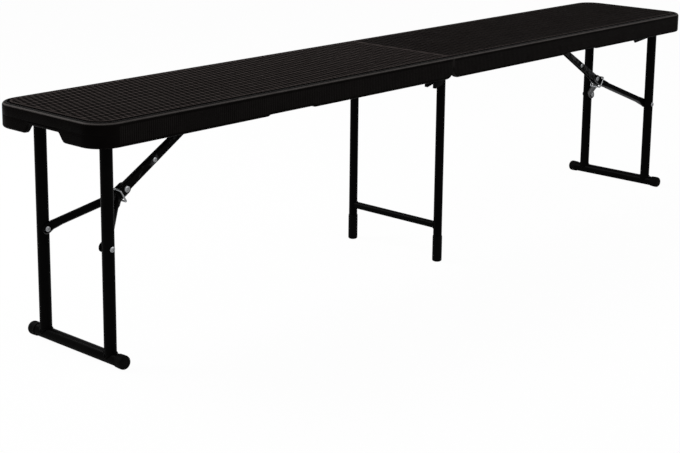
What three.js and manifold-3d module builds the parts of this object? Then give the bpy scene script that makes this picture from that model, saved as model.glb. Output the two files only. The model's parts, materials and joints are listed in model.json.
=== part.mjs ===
// Bi-fold bench: two seat halves on a hinge, two folding end legs with knee braces, a folding centre leg
// and a webbing carry handle. Millimetres, +X along the bench, +Y to the far side, +Z up from the floor.
import * as THREE from 'three';
import { mergeVertices } from 'three/addons/utils/BufferGeometryUtils.js';
import Module from 'manifold-3d';

const wasm = await Module();
wasm.setup();

// Fits shared by all pieces
const seatGap = 0.3;          // between pieces that touch or are fastened
const runGap = 0.6;           // between pieces that turn past each other
const overrun = 5;            // how far a cut runs past what it cuts
const sheet = 2;              // bracket sheet

// Seat halves
const benchLength = 1830;
const seatWidth = 288;
const seatHeight = 435;
const rimHeight = 45;
const rimThickness = 11;
const panelThickness = 14;
const cornerRadius = 45;
const edgeRound = 4;
const edgeSteps = 3;
const seamGap = 0.4;
const seamCornerRadius = 18;
const borderWidth = 9;        // smooth band along the rim, outside the groove
const grooveWidth = 2.2;
const grooveDepth = 1;
const notchWidth = 110;       // hand notch in the end skirt
const notchTopWidth = 76;
const notchDepth = 16;
const notchRound = 5;
const recessLength = 124;     // shallow dip in the rim where the strap comes through
const recessDepth = 2.5;
const recessPlace = 467;      // from the seam to its middle

const rimLevel = seatHeight - rimHeight;
const panelUnder = seatHeight - panelThickness;
const halfLength = benchLength / 2;
const halfWidth = seatWidth / 2;
const innerHalfWidth = halfWidth - rimThickness;
const foldLevel = rimLevel - seatGap / 2;

// End legs
const legInset = 60;          // leg axis from the bench end
const legRadius = 11;
const tubeWall = 1.4;
const legSideInset = 54.7;    // leg axis from the seat's side
const pivotDrop = 14;         // leg pivot below the panel
const legTopExtra = 6;        // tube above the pivot
const rodRadius = 5;
const headThickness = 1.8;
const footSideInset = 13;     // end of a foot cap from the seat's side
const capRadius = 12.5;
const capLength = 24;
const capEnd = 3;
const legX = halfLength - legInset;
const legY = halfWidth - legSideInset;
const footHalf = halfWidth - footSideInset;
const pivotZ = panelUnder - pivotDrop;

// Leg brackets
const bracketReach = 104;     // from the pivot towards the middle of the bench
const bracketHang = 18;       // below the rim
const bracketHangStart = 31;  // the hanging part ends this far from the pivot
const earRadius = 11;
const shortEar = 23;
const earTaper = 6;
const webReach = 18;          // the web ends this far from the pivot, clear of the turning tube
const rodHeadRadius = 7.5;

// Knee brace
const rivetZ = 206;           // rivets through the legs, above the floor
const strutReach = 330;       // strut pivot to leg pivot
const armRadius = 8;
const flatHalf = 9.5;         // half the width of a flattened tube end
const flatThickness = 3;
const flatLength = 24;
const strutWidth = 11;
const strutSheet = 1.5;
const strutTopHalf = 5;
const strutKneeHalf = 8.2;
const kneePinRadius = 3.5;
const smallPinRadius = 3;
const rivetHeadRadius = 6;
const smallHeadRadius = 4.8;
const tongueTail = 24;
const tongueBack = 90;
const tongueHalf = 5.2;
const tongueRivet = 79;       // from the knee back along the strut
const strutEarRadius = 8;
const strutBracketHalf = 20;

// Lock ring
const ringWire = 3.5;
const ringInnerWidth = 23.6;
const ringAbove = 9.8;        // inner height above the brace line
const ringBelow = 13.2;
const ringPlace = 16;         // past the knee
const ringBend = 3;

// Centre leg
const centreInset = 7;        // axis from the seam
const centreRimInset = 15;    // axis from the rim's inner face
const centreRadius = 9;
const centreDrop = 21;        // pivot below the panel
const crossbarRadius = 7.5;
const crossbarZ = 77;
const tipRadius = 10;
const tipLength = 55;
const tipEnd = 4;
const centreBracketReach = 39;
const centreEarRadius = 11;
const hookWidth = 8;
const hookRise = 5;
const centreLegY = innerHalfWidth - centreRimInset;

// Seat hinge
const hingeRodRadius = 4;
const hingeEarRadius = 8;
const hingeSheet = 2.5;
const hingeSideInset = 53.5;  // middle of a hinge from the seat's side
const leafStart = 12;
const leafEnd = 52;
const leafWidth = 25;
const hingeY = halfWidth - hingeSideInset;

// Carry handle
const strapThickness = 2.6;
const strapWidth = 25;
const strapSpan = 84;         // between the middles of the two ends
const strapHeight = 57;
const gripWidth = 12;
const gripThickness = 6.5;
const strapSetback = 2;       // strap line from the rim's inner face
const strapEndRise = 1.2;     // strap end above its swing axis
const strapFold = 1.5;        // length of the step where the webbing is folded double
const tabThickness = 3;
const tabHeight = 24;

// Roundness: number of flats
const tubeSides = 20;
const smallSides = 16;
const armSides = 12;
const cornerSteps = 8;

const strapSteps = 22;

const finish = {
  plastic: { color: 0x1b1918, roughness: 0.5, metalness: 0 },
  steel: { color: 0x121212, roughness: 0.42, metalness: 0.1 },
  zinc: { color: 0xb9bcbe, roughness: 0.3, metalness: 1 },
  rubber: { color: 0x141414, roughness: 0.7, metalness: 0 },
  webbing: { color: 0x161616, roughness: 0.9, metalness: 0 },
};

const bench = new THREE.Group();

// Turns a closed three.js mesh into a solid, with its faces out
function solid(geometry) {
  const bare = geometry.index ? geometry.clone() : geometry;
  bare.deleteAttribute('normal');
  bare.deleteAttribute('uv');
  const merged = mergeVertices(bare);
  const corners = merged.getAttribute('position').array;
  const index = merged.index.array;
  const triangles = [];
  let volume = 0;
  const point = (i) => new THREE.Vector3().fromArray(corners, i * 3);
  for (let i = 0; i < index.length; i += 3) {
    const [a, b, c] = [index[i], index[i + 1], index[i + 2]];
    if (a === b || b === c || c === a) continue;
    triangles.push([a, b, c]);
    volume += point(a).dot(point(b).cross(point(c)));
  }
  const wound = triangles.map(([a, b, c]) => (volume < 0 ? [a, c, b] : [a, b, c]));
  return new wasm.Manifold(new wasm.Mesh({
    numProp: 3,
    vertProperties: new Float32Array(corners),
    triVerts: new Uint32Array(wound.flat()),
  }));
}

function join(first, ...others) {
  return others.reduce((sum, other) => sum.add(other), first);
}

function cut(body, ...tools) {
  return tools.reduce((rest, tool) => rest.subtract(tool), body);
}

// Adds a finished solid to the bench under its name
function piece(name, body, look) {
  const made = body.getMesh();
  const geometry = new THREE.BufferGeometry();
  const places = new Float32Array(made.numVert * 3);
  for (let i = 0; i < made.numVert; i += 1) {
    for (let axis = 0; axis < 3; axis += 1) {
      places[i * 3 + axis] = made.vertProperties[i * made.numProp + axis];
    }
  }
  geometry.setAttribute('position', new THREE.BufferAttribute(places, 3));
  geometry.setIndex(new THREE.BufferAttribute(new Uint32Array(made.triVerts), 1));
  geometry.computeVertexNormals();
  const mesh = new THREE.Mesh(geometry, new THREE.MeshStandardMaterial(look));
  mesh.name = name;
  bench.add(mesh);
}

function block(xs, ys, zs) {
  const size = [xs, ys, zs].map(([low, high]) => Math.abs(high - low));
  const middle = [xs, ys, zs].map(([low, high]) => (low + high) / 2);
  return solid(new THREE.BoxGeometry(...size).translate(...middle));
}

// A round bar or cut along Y
function barAlongY(radius, yFrom, yTo, x, z, sides = tubeSides) {
  const length = Math.abs(yTo - yFrom);
  const bar = new THREE.CylinderGeometry(radius, radius, length, sides);
  return solid(bar.translate(x, (yFrom + yTo) / 2, z));
}

function outline(points) {
  return new THREE.Shape(points.map(([across, up]) => new THREE.Vector2(across, up)));
}

// Extrudes an outline drawn in X and Z, between two Y values
function plateXZ(shape, yFrom, yTo) {
  const depth = Math.abs(yTo - yFrom);
  const body = new THREE.ExtrudeGeometry(shape, { depth, bevelEnabled: false, curveSegments: cornerSteps });
  body.rotateX(Math.PI / 2);
  return solid(body.translate(0, Math.max(yFrom, yTo), 0));
}

// Extrudes an outline drawn in Y and Z, between two X values
function plateYZ(shape, xFrom, xTo) {
  const depth = Math.abs(xTo - xFrom);
  const body = new THREE.ExtrudeGeometry(shape, { depth, bevelEnabled: false, curveSegments: cornerSteps });
  body.rotateX(Math.PI / 2).rotateZ(Math.PI / 2);
  return solid(body.translate(Math.min(xFrom, xTo), 0, 0));
}

// A solid turned from a profile of [radius, height] points
function turned(profile, sides) {
  return new THREE.LatheGeometry(profile.map(([r, h]) => new THREE.Vector2(r, h)), sides);
}

// An open tube along Y before it is placed
function tube(radius, length, wall = tubeWall, sides = tubeSides) {
  const inner = radius - wall;
  const half = length / 2;
  return turned([[inner, -half], [radius, -half], [radius, half], [inner, half], [inner, -half]], sides);
}

// A headed pin along Y: shaft between two faces, with a low domed head at each end that asks for one
function headedPin(radius, headRadius, yLow, yHigh, x, z, heads = { low: true, high: true }) {
  const dome = (face, way) => [
    [headRadius, face],
    [headRadius, face + way * headThickness / 3],
    [headRadius * 2 / 3, face + way * headThickness],
    [0, face + way * headThickness],
  ];
  const low = heads.low ? dome(yLow, -1).reverse() : [[0, yLow]];
  const high = heads.high ? dome(yHigh, 1) : [[0, yHigh]];
  const profile = [...low, [radius, yLow], [radius, yHigh], ...high];
  return solid(turned(profile, smallSides).translate(x, 0, z));
}

// Joins rings of points into one closed skin, capped at both ends or looped round
function skin(rings, looped = false) {
  const corners = rings.flat().flatMap((p) => [p.x, p.y, p.z]);
  const count = rings[0].length;
  const triangles = [];
  const spans = looped ? rings.length : rings.length - 1;
  for (let r = 0; r < spans; r += 1) {
    const here = r * count;
    const next = ((r + 1) % rings.length) * count;
    for (let i = 0; i < count; i += 1) {
      const j = (i + 1) % count;
      triangles.push(here + i, here + j, next + j, here + i, next + j, next + i);
    }
  }
  const last = (rings.length - 1) * count;
  for (let i = 1; i + 1 < count && !looped; i += 1) {
    triangles.push(0, i + 1, i);
    triangles.push(last, last + i, last + i + 1);
  }
  const geometry = new THREE.BufferGeometry();
  geometry.setAttribute('position', new THREE.Float32BufferAttribute(corners, 3));
  geometry.setIndex(triangles);
  return solid(geometry);
}

// Plan outline of a seat half, drawn in by an inset; the seam end runs to a given X
function halfPlan(side, inset, seamEnd) {
  const end = halfLength - inset;
  const wide = halfWidth - inset;
  const round = cornerRadius - inset;
  const plan = new THREE.Shape();
  plan.moveTo(seamEnd * side, -wide);
  plan.lineTo((end - round) * side, -wide);
  for (let i = 1; i <= cornerSteps; i += 1) {
    const turn = (i / cornerSteps) * (Math.PI / 2);
    plan.lineTo((end - round + round * Math.sin(turn)) * side, -wide + round - round * Math.cos(turn));
  }
  for (let i = 0; i <= cornerSteps; i += 1) {
    const turn = (i / cornerSteps) * (Math.PI / 2);
    plan.lineTo((end - round + round * Math.cos(turn)) * side, wide - round + round * Math.sin(turn));
  }
  plan.lineTo(seamEnd * side, wide);
  plan.closePath();
  return plan;
}

function raised(shape, zLow, zHigh) {
  const depth = zHigh - zLow;
  const body = new THREE.ExtrudeGeometry(shape, { depth, bevelEnabled: false, curveSegments: cornerSteps });
  return solid(body.translate(0, 0, zLow));
}

// Outer skin with rounded upper and lower edges
function seatBlank(side) {
  const seamEnd = -overrun - edgeRound;
  const body = new THREE.ExtrudeGeometry(halfPlan(side, edgeRound, seamEnd), {
    depth: rimHeight - 2 * edgeRound,
    bevelEnabled: true,
    bevelThickness: edgeRound,
    bevelSize: edgeRound,
    bevelSegments: edgeSteps,
  });
  return solid(body.translate(0, 0, rimLevel + edgeRound));
}

// Groove between the smooth border and the woven field, open at the seam
function borderGroove(side) {
  const floor = seatHeight - grooveDepth;
  const within = raised(halfPlan(side, borderWidth, -overrun), floor, seatHeight + overrun);
  const field = halfPlan(side, borderWidth + grooveWidth, -overrun * 2);
  return cut(within, raised(field, floor - overrun, seatHeight + overrun * 2));
}

function handNotch(side) {
  const bottom = rimLevel - overrun;
  const top = rimLevel + notchDepth;
  const wide = notchWidth / 2;
  const narrow = notchTopWidth / 2;
  const shape = new THREE.Shape();
  shape.moveTo(-wide, bottom);
  shape.lineTo(-wide, rimLevel);
  shape.lineTo(-narrow - notchRound / 2, top - notchRound);
  shape.quadraticCurveTo(-narrow, top, -narrow + notchRound, top);
  shape.lineTo(narrow - notchRound, top);
  shape.quadraticCurveTo(narrow, top, narrow + notchRound / 2, top - notchRound);
  shape.lineTo(wide, rimLevel);
  shape.lineTo(wide, bottom);
  return plateYZ(shape, side * (halfLength - rimThickness - overrun), side * (halfLength + overrun));
}

// Dip in both long rims where the strap comes through
function strapRecess(side) {
  const xs = [side * (recessPlace - recessLength / 2), side * (recessPlace + recessLength / 2)];
  return block(xs, [-halfWidth - overrun, halfWidth + overrun], [rimLevel - overrun, rimLevel + recessDepth]);
}

// Rounds the lower seam corner of both long rims
function seamCorner(side) {
  const r = seamCornerRadius;
  const edge = side * seamGap / 2;
  const shape = new THREE.Shape();
  shape.moveTo(edge - side * overrun, rimLevel - overrun);
  shape.lineTo(edge + side * r, rimLevel - overrun);
  for (let i = 0; i <= cornerSteps; i += 1) {
    const turn = (i / cornerSteps) * (Math.PI / 2);
    shape.lineTo(edge + side * r * (1 - Math.sin(turn)), rimLevel + r * (1 - Math.cos(turn)));
  }
  shape.lineTo(edge - side * overrun, rimLevel + r);
  return plateXZ(shape, -halfWidth - overrun, halfWidth + overrun);
}

function seatHalf(name, side) {
  const beyondSeam = [side * seamGap / 2, -side * (overrun + edgeRound) * 3];
  const wholeWidth = [-halfWidth - overrun, halfWidth + overrun];
  const seamCut = block(beyondSeam, wholeWidth, [rimLevel - overrun, seatHeight + overrun]);
  const hollow = raised(halfPlan(side, rimThickness, -overrun * 2), rimLevel - overrun, panelUnder);
  const details = [borderGroove(side), handNotch(side), strapRecess(side), seamCorner(side)];
  piece(name, cut(seatBlank(side), seamCut, hollow, ...details), finish.plastic);
}

// The tightest outline round some corners and circles [x, z, radius]
function tightOutline(corners, circles = []) {
  const points = [...corners];
  for (const [x, z, r] of circles) {
    for (let i = 0; i < smallSides; i += 1) {
      const turn = (i / smallSides) * Math.PI * 2;
      points.push([x + r * Math.cos(turn), z + r * Math.sin(turn)]);
    }
  }
  points.sort((a, b) => a[0] - b[0] || a[1] - b[1]);
  const side = (o, a, b) => (a[0] - o[0]) * (b[1] - o[1]) - (a[1] - o[1]) * (b[0] - o[0]);
  const chain = (list) => {
    const kept = [];
    for (const p of list) {
      while (kept.length > 1 && side(kept.at(-2), kept.at(-1), p) <= 0) {
        kept.pop();
      }
      kept.push(p);
    }
    return kept.slice(0, -1);
  };
  return outline([...chain(points), ...chain([...points].reverse())]);
}

// Stamped leaf under the panel with an ear that reaches the fold axis
function hingeLeaf(name, side, away, earFrom) {
  const top = panelUnder - seatGap;
  const low = top - hingeSheet;
  const middle = away * hingeY;
  const across = [middle - leafWidth / 2, middle + leafWidth / 2];
  const plate = block([side * leafStart, side * leafEnd], across, [low, top]);
  const corners = [[side * leafStart, top], [side * leafEnd, top], [side * leafEnd, low]];
  const shape = tightOutline(corners, [[0, foldLevel, hingeEarRadius]]);
  const earTo = earFrom + hingeSheet;
  const ear = plateXZ(shape, earFrom, earTo);
  const hole = barAlongY(hingeRodRadius + seatGap, earFrom - overrun, earTo + overrun, 0, foldLevel);
  piece(name, cut(join(plate, ear), hole), finish.steel);
}

function seatHinge() {
  for (const [away, side] of [['near', -1], ['far', 1]]) {
    const middle = side * hingeY;
    hingeLeaf(`left_hinge_leaf_${away}`, -1, side, middle - hingeSheet - seatGap / 2);
    hingeLeaf(`right_hinge_leaf_${away}`, 1, side, middle + seatGap / 2);
  }
  const end = hingeY + hingeSheet + seatGap * 2;
  piece('hinge_rod', headedPin(hingeRodRadius, hingeEarRadius, -end, end, 0, foldLevel), finish.steel);
}

// Leg tube from just above its pivot down, saddled where it is welded to a foot tube
function legTube(name, { x, y, radius, pivot, pinRadius, low, saddle, rivet }) {
  const top = pivot + legTopExtra;
  const body = solid(tube(radius, top - low).rotateX(Math.PI / 2).translate(x, y, (top + low) / 2));
  const across = [y - radius - overrun, y + radius + overrun];
  const cuts = [barAlongY(pinRadius + seatGap, ...across, x, pivot, smallSides)];
  if (rivet) cuts.push(barAlongY(smallPinRadius + seatGap, ...across, x, rivet, smallSides));
  if (saddle) cuts.push(barAlongY(saddle.radius + seatGap, ...across, x, saddle.z));
  piece(name, cut(body, ...cuts), finish.steel);
}

function footCap(name, x, away) {
  const inner = legRadius + seatGap;
  const profile = [[0, capEnd], [inner, capEnd], [inner, capLength], [capRadius, capLength]];
  profile.push([capRadius, capEnd / 2], [capRadius - capEnd / 2, 0], [0, 0]);
  const body = turned(profile.reverse(), tubeSides + cornerSteps / 2);
  if (away > 0) body.rotateX(Math.PI);
  piece(name, solid(body.translate(x, away * footHalf, capRadius)), finish.rubber);
}

// U bracket over a leg: a web under the panel, a long ear that hangs below the rim and a short ear
function legBracket(name, side, y, hangWay) {
  const x = side * legX;
  const towardsMiddle = (reach) => x - side * reach;
  const top = panelUnder - seatGap;
  const half = legRadius + runGap;
  const web = block(
    [towardsMiddle(bracketReach), towardsMiddle(webReach)],
    [y - half - sheet, y + half + sheet],
    [top - sheet, top],
  );
  const earLow = pivotZ - earRadius;
  const longEar = tightOutline(
    [[towardsMiddle(bracketReach), top], [towardsMiddle(bracketReach), earLow], [x, top]],
    [[x, pivotZ, earRadius]],
  );
  const hang = tightOutline([
    [towardsMiddle(bracketReach), top], [towardsMiddle(bracketReach), rimLevel - bracketHang + earTaper],
    [towardsMiddle(bracketReach - earTaper), rimLevel - bracketHang],
    [towardsMiddle(bracketHangStart + earTaper), rimLevel - bracketHang + earTaper],
    [towardsMiddle(bracketHangStart), earLow], [towardsMiddle(bracketHangStart), top],
  ]);
  const small = tightOutline([[towardsMiddle(shortEar), top], [x, top]], [[x, pivotZ, earRadius]]);
  const longFrom = y + hangWay * half;
  const shortFrom = y - hangWay * half;
  const ears = join(
    plateXZ(longEar, longFrom, longFrom + hangWay * sheet),
    plateXZ(hang, longFrom, longFrom + hangWay * sheet),
    plateXZ(small, shortFrom, shortFrom - hangWay * sheet),
  );
  const hole = barAlongY(rodRadius + seatGap, y - half * 2, y + half * 2, x, pivotZ, smallSides);
  piece(name, cut(join(web, ears), hole), finish.steel);
}

// Places along the brace: along the line from the strut pivot through the knee to the leg rivets
const riseToRivet = pivotZ - rivetZ;
const braceLength = Math.hypot(strutReach, riseToRivet);
const armLength = (braceLength - strutReach + riseToRivet) / 2;
const strutLength = braceLength - armLength;

function braceFrame(side) {
  const along = new THREE.Vector3(side * strutReach, 0, -riseToRivet).divideScalar(braceLength);
  const above = new THREE.Vector3(side * riseToRivet, 0, strutReach).divideScalar(braceLength);
  const pivot = new THREE.Vector3(side * (legX - strutReach), 0, pivotZ);
  const at = (s, w, y) => pivot.clone().addScaledVector(along, s).addScaledVector(above, w).setY(y);
  return { at, pivot, knee: at(strutLength, 0, 0) };
}

function slanted(frame, points, yFrom, yTo, circles = []) {
  const place = (s, w) => {
    const p = frame.at(s, w, 0);
    return [p.x, p.z];
  };
  const corners = points.map(([s, w]) => place(s, w));
  return plateXZ(tightOutline(corners, circles.map(([s, w, r]) => [...place(s, w), r])), yFrom, yTo);
}

// Corner points of a pressed section: a rectangle with generous corners
function flatSection(wide, deep) {
  const cornerShare = 0.35;
  const press = (value) => Math.sign(value) * Math.abs(value) ** cornerShare;
  return roundSection(1, 1).map(([u, v]) => [wide * press(u), deep * press(v)]);
}

function roundSection(wide, deep) {
  return Array.from({ length: armSides }, (_, i) => {
    const turn = ((i + 1 / 2) / armSides) * Math.PI * 2;
    return [wide * Math.cos(turn), deep * Math.sin(turn)];
  });
}

// Round tube whose two ends are pressed flat: at the knee beside the strut and at the leg's inner side
function braceArm(name, frame, away) {
  const kneeY = strutWidth / 2 + seatGap + flatThickness / 2;
  const legSideY = legY - legRadius - seatGap - flatThickness / 2;
  const clearY = strutWidth / 2 + armRadius + flatThickness;
  const roundLegY = legSideY - flatThickness / 2 - armRadius;
  const ring = (s, y, section) => section.map(([w, out]) => frame.at(strutLength + s, w, away * (y + out)));
  const flat = (s, y, wide = flatHalf) => ring(s, y, flatSection(wide, flatThickness / 2));
  const round = (s, y) => ring(s, y, roundSection(armRadius, armRadius));
  const tipWide = (share) => Math.max(flatHalf * Math.sqrt(1 - share * share), flatThickness / 2);
  const tipShares = [1, 0.85, 0.5, 0];
  const rings = [
    ...tipShares.map((share) => flat(-share * flatHalf, kneeY, tipWide(share))),
    flat(flatLength, kneeY),
    round(flatLength + armRadius * 2, clearY),
    round(armLength - flatLength, roundLegY),
    flat(armLength - flatHalf, legSideY),
    ...tipShares.toReversed().map((share) => flat(armLength + share * flatHalf, legSideY, tipWide(share))),
  ];
  const hole = barAlongY(
    kneePinRadius + seatGap, -strutWidth, strutWidth, frame.knee.x, frame.knee.z, smallSides,
  );
  piece(name, cut(skin(rings), hole), finish.steel);
}

// Pressed channel, open below, that widens towards the knee
function strutChannel(name, frame) {
  const half = strutWidth / 2;
  const whole = slanted(frame, [], -half, half, [[0, 0, strutTopHalf], [strutLength, 0, strutKneeHalf]]);
  const under = strutKneeHalf * 2;
  const inside = slanted(frame, [
    [-under, strutTopHalf - strutSheet], [strutLength + under, strutKneeHalf - strutSheet],
    [strutLength + under, -under], [-under, -under],
  ], -half + strutSheet, half - strutSheet);
  const across = [-half - overrun, half + overrun];
  const back = frame.at(strutLength - tongueRivet, 0, 0);
  const holes = [
    barAlongY(smallPinRadius + seatGap, ...across, frame.pivot.x, frame.pivot.z, smallSides),
    barAlongY(kneePinRadius + seatGap, ...across, frame.knee.x, frame.knee.z, smallSides),
    barAlongY(smallPinRadius + seatGap, ...across, back.x, back.z, smallSides),
  ];
  piece(name, cut(whole, inside, ...holes), finish.steel);
}

// Tongue inside the channel; its tail runs past the knee, where the ring locks it to the arms
function strutTongue(name, frame) {
  const half = strutWidth / 2 - strutSheet - seatGap;
  const from = strutLength - tongueBack + tongueHalf;
  const to = strutLength + tongueTail - tongueHalf;
  const body = slanted(frame, [], -half, half, [[from, 0, tongueHalf], [to, 0, tongueHalf]]);
  const back = frame.at(strutLength - tongueRivet, 0, 0);
  const across = [-half - overrun, half + overrun];
  piece(name, cut(
    body,
    barAlongY(kneePinRadius + seatGap, ...across, frame.knee.x, frame.knee.z, smallSides),
    barAlongY(smallPinRadius + seatGap, ...across, back.x, back.z, smallSides),
  ), finish.steel);
}

// Square wire ring round the arms and the tongue
function lockRing(name, frame) {
  const r = ringWire / 2;
  const wide = ringInnerWidth / 2 + r;
  const high = ringAbove + r;
  const low = -ringBelow - r;
  const corners = [[wide, high, 0], [-wide, high, 1], [-wide, low, 2], [wide, low, 3]];
  const rings = [];
  for (const [y, w, quarter] of corners) {
    const centreY = y - Math.sign(y) * ringBend;
    const centreW = w - Math.sign(w) * ringBend;
    for (let i = 0; i <= edgeSteps; i += 1) {
      const turn = (quarter + i / edgeSteps) * (Math.PI / 2);
      const ring = [];
      for (let k = 0; k < cornerSteps; k += 1) {
        const round = (k / cornerSteps) * Math.PI * 2;
        const out = ringBend + r * Math.cos(round);
        const across = centreY + out * Math.cos(turn);
        const up = centreW + out * Math.sin(turn);
        ring.push(frame.at(strutLength + ringPlace + r * Math.sin(round), up, across));
      }
      rings.push(ring);
    }
  }
  piece(name, skin(rings, true), finish.zinc);
}

// U bracket under the panel that carries the upper end of the strut
function strutBracket(name, frame) {
  const { x, z } = frame.pivot;
  const top = panelUnder - seatGap;
  const half = strutWidth / 2 + seatGap;
  const reach = strutBracketHalf;
  const web = block([x - reach, x + reach], [-half - sheet, half + sheet], [top - sheet, top]);
  const ear = tightOutline([[x - reach, top], [x + reach, top]], [[x, z, strutEarRadius]]);
  const ears = [plateXZ(ear, half, half + sheet), plateXZ(ear, -half, -half - sheet)];
  const hole = barAlongY(smallPinRadius + seatGap, -half * 2, half * 2, x, z, smallSides);
  piece(name, cut(join(web, ...ears), hole), finish.steel);
}

// One folding end: two legs on a foot tube, their brackets, and the knee brace with its lock ring
function endLegs(end, side) {
  const x = side * legX;
  const frame = braceFrame(side);
  for (const [away, way] of [['near', -1], ['far', 1]]) {
    const y = way * legY;
    legTube(`${end}_leg_tube_${away}`, {
      x, y, radius: legRadius, pivot: pivotZ, pinRadius: rodRadius,
      low: capRadius, saddle: { radius: legRadius, z: capRadius }, rivet: rivetZ,
    });
    footCap(`${end}_foot_cap_${away}`, x, way);
    legBracket(`${end}_leg_bracket_${away}`, side, y, way * side);
    const head = way * (legY + legRadius + seatGap);
    const inner = way * (legY - legRadius + seatGap);
    piece(`${end}_leg_rivet_${away}`, headedPin(
      smallPinRadius, rivetHeadRadius, Math.min(head, inner), Math.max(head, inner), x, rivetZ,
      { low: way < 0, high: way > 0 },
    ), finish.zinc);
    braceArm(`${end}_brace_arm_${away}`, frame, way);
  }
  const footTube = tube(legRadius, 2 * (footHalf - capEnd - seatGap));
  piece(`${end}_foot_tube`, solid(footTube.translate(x, 0, capRadius)), finish.steel);
  const rodEnd = legY + legRadius + runGap + sheet + seatGap;
  const rod = headedPin(rodRadius, rodHeadRadius, -rodEnd, rodEnd, x, pivotZ);
  piece(`${end}_leg_pivot_rod`, rod, finish.steel);
  strutChannel(`${end}_strut_channel`, frame);
  strutTongue(`${end}_strut_tongue`, frame);
  strutBracket(`${end}_strut_bracket`, frame);
  lockRing(`${end}_lock_ring`, frame);
  const pinEnd = strutWidth / 2 + seatGap + sheet + seatGap;
  piece(`${end}_strut_pin`, headedPin(
    smallPinRadius, smallHeadRadius, -pinEnd, pinEnd, frame.pivot.x, frame.pivot.z,
  ), finish.steel);
  const kneeEnd = strutWidth / 2 + flatThickness + seatGap * 2;
  piece(`${end}_knee_rivet`, headedPin(
    kneePinRadius, rivetHeadRadius, -kneeEnd, kneeEnd, frame.knee.x, frame.knee.z,
  ), finish.zinc);
  const back = frame.at(strutLength - tongueRivet, 0, 0);
  const backEnd = strutWidth / 2 + seatGap;
  const backRivet = headedPin(smallPinRadius, smallHeadRadius, -backEnd, backEnd, back.x, back.z);
  piece(`${end}_tongue_rivet`, backRivet, finish.zinc);
}

// U bracket of the centre leg, with a hook at the foot of each ear
function centreBracket(name, x, y, pivot) {
  const top = panelUnder - seatGap;
  const half = centreRadius + runGap;
  const back = x - centreBracketReach;
  const hookLow = rimLevel - bracketHang;
  const web = block([back, x], [y - half - sheet, y + half + sheet], [top - sheet, top]);
  const ear = tightOutline(
    [[back, top], [x + centreEarRadius, top], [back, rimLevel]],
    [[x, pivot, centreEarRadius]],
  );
  const hook = tightOutline([
    [back, rimLevel], [back, hookLow + sheet], [back + hookWidth, hookLow],
    [x - centreEarRadius, hookLow + hookRise], [x, rimLevel],
  ]);
  const ears = [half, -half - sheet].flatMap((from) => [ear, hook].map(
    (shape) => plateXZ(shape, y + from, y + from + sheet),
  ));
  const hole = barAlongY(hingeRodRadius + seatGap, y - half * 2, y + half * 2, x, pivot, smallSides);
  piece(name, cut(join(web, ...ears), hole), finish.steel);
}

function centreLeg() {
  const x = -centreInset;
  const pivot = panelUnder - centreDrop;
  for (const [away, way] of [['near', -1], ['far', 1]]) {
    const y = way * centreLegY;
    legTube(`centre_leg_tube_${away}`, {
      x, y, radius: centreRadius, pivot, pinRadius: hingeRodRadius, low: tipEnd + seatGap,
    });
    const inner = centreRadius + seatGap;
    const tip = turned([
      [0, 0], [tipRadius - tipEnd, 0], [tipRadius, tipEnd], [tipRadius, tipLength],
      [inner, tipLength], [inner, tipEnd], [0, tipEnd],
    ], tubeSides);
    piece(`centre_leg_tip_${away}`, solid(tip.rotateX(Math.PI / 2).translate(x, y, 0)), finish.rubber);
    const pinEnd = centreRadius + runGap + sheet + seatGap;
    piece(`centre_leg_pin_${away}`, headedPin(
      hingeRodRadius, rivetHeadRadius, y - pinEnd, y + pinEnd, x, pivot,
    ), finish.steel);
    centreBracket(`centre_leg_bracket_${away}`, x, y, pivot);
  }
  const bar = solid(tube(crossbarRadius, 2 * centreLegY).translate(x, 0, crossbarZ));
  const legs = [-1, 1].map((way) => solid(
    new THREE.CylinderGeometry(centreRadius + seatGap, centreRadius + seatGap, crossbarZ, tubeSides)
      .rotateX(Math.PI / 2).translate(x, way * centreLegY, crossbarZ),
  ));
  piece('centre_leg_crossbar', cut(bar, ...legs), finish.steel);
}

// Webbing loop that hangs inside the far rim: flat ends, and a grip folded double between two steps
function carryStrap() {
  const y = innerHalfWidth - strapSetback;
  const half = strapSpan / 2;
  const end = foldLevel + strapEndRise;
  const archShares = [[1, 0], [1, 0.12], [1.06, 0.4], [0.92, 0.7], [0.55, 0.93], [0, 1]];
  const left = archShares.map(([across, down]) => [-across, down]);
  const right = archShares.slice(0, -1).reverse();
  const line = new THREE.CatmullRomCurve3([...left, ...right].map(([across, down]) => new THREE.Vector3(
    -recessPlace + across * half, y, end - down * (strapHeight + strapEndRise),
  )));
  const gripShare = 0.3;
  const foldShare = strapFold / line.getLength();
  const flat = { wide: strapWidth / 2, deep: strapThickness / 2 };
  const grip = { wide: gripThickness / 2, deep: gripWidth / 2 };
  const stations = [];
  for (let i = 0; i <= strapSteps; i += 1) {
    const share = i / strapSteps;
    stations.push({ share, ...(share > gripShare && share < 1 - gripShare ? grip : flat) });
  }
  stations.push({ share: gripShare - foldShare, ...flat }, { share: gripShare + foldShare, ...grip });
  stations.push({ share: 1 - gripShare - foldShare, ...grip }, { share: 1 - gripShare + foldShare, ...flat });
  stations.sort((a, b) => a.share - b.share);
  const rings = stations.map(({ share, wide, deep }) => {
    const centre = line.getPointAt(share);
    const along = line.getTangentAt(share);
    const across = new THREE.Vector3(along.z, 0, -along.x);
    return flatSection(wide, deep).map(([u, v]) => centre.clone().addScaledVector(across, u).setY(y + v));
  });
  piece('carry_strap', skin(rings), finish.webbing);
  const tabLow = foldLevel + Math.hypot(strapThickness / 2, strapEndRise) + seatGap;
  for (const [side, way] of [['left', -1], ['right', 1]]) {
    const x = -recessPlace + way * half;
    piece(`strap_tab_${side}`, block(
      [x - strapWidth / 2, x + strapWidth / 2],
      [innerHalfWidth - seatGap - tabThickness, innerHalfWidth - seatGap],
      [tabLow, tabLow + tabHeight],
    ), finish.webbing);
  }
}

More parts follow.
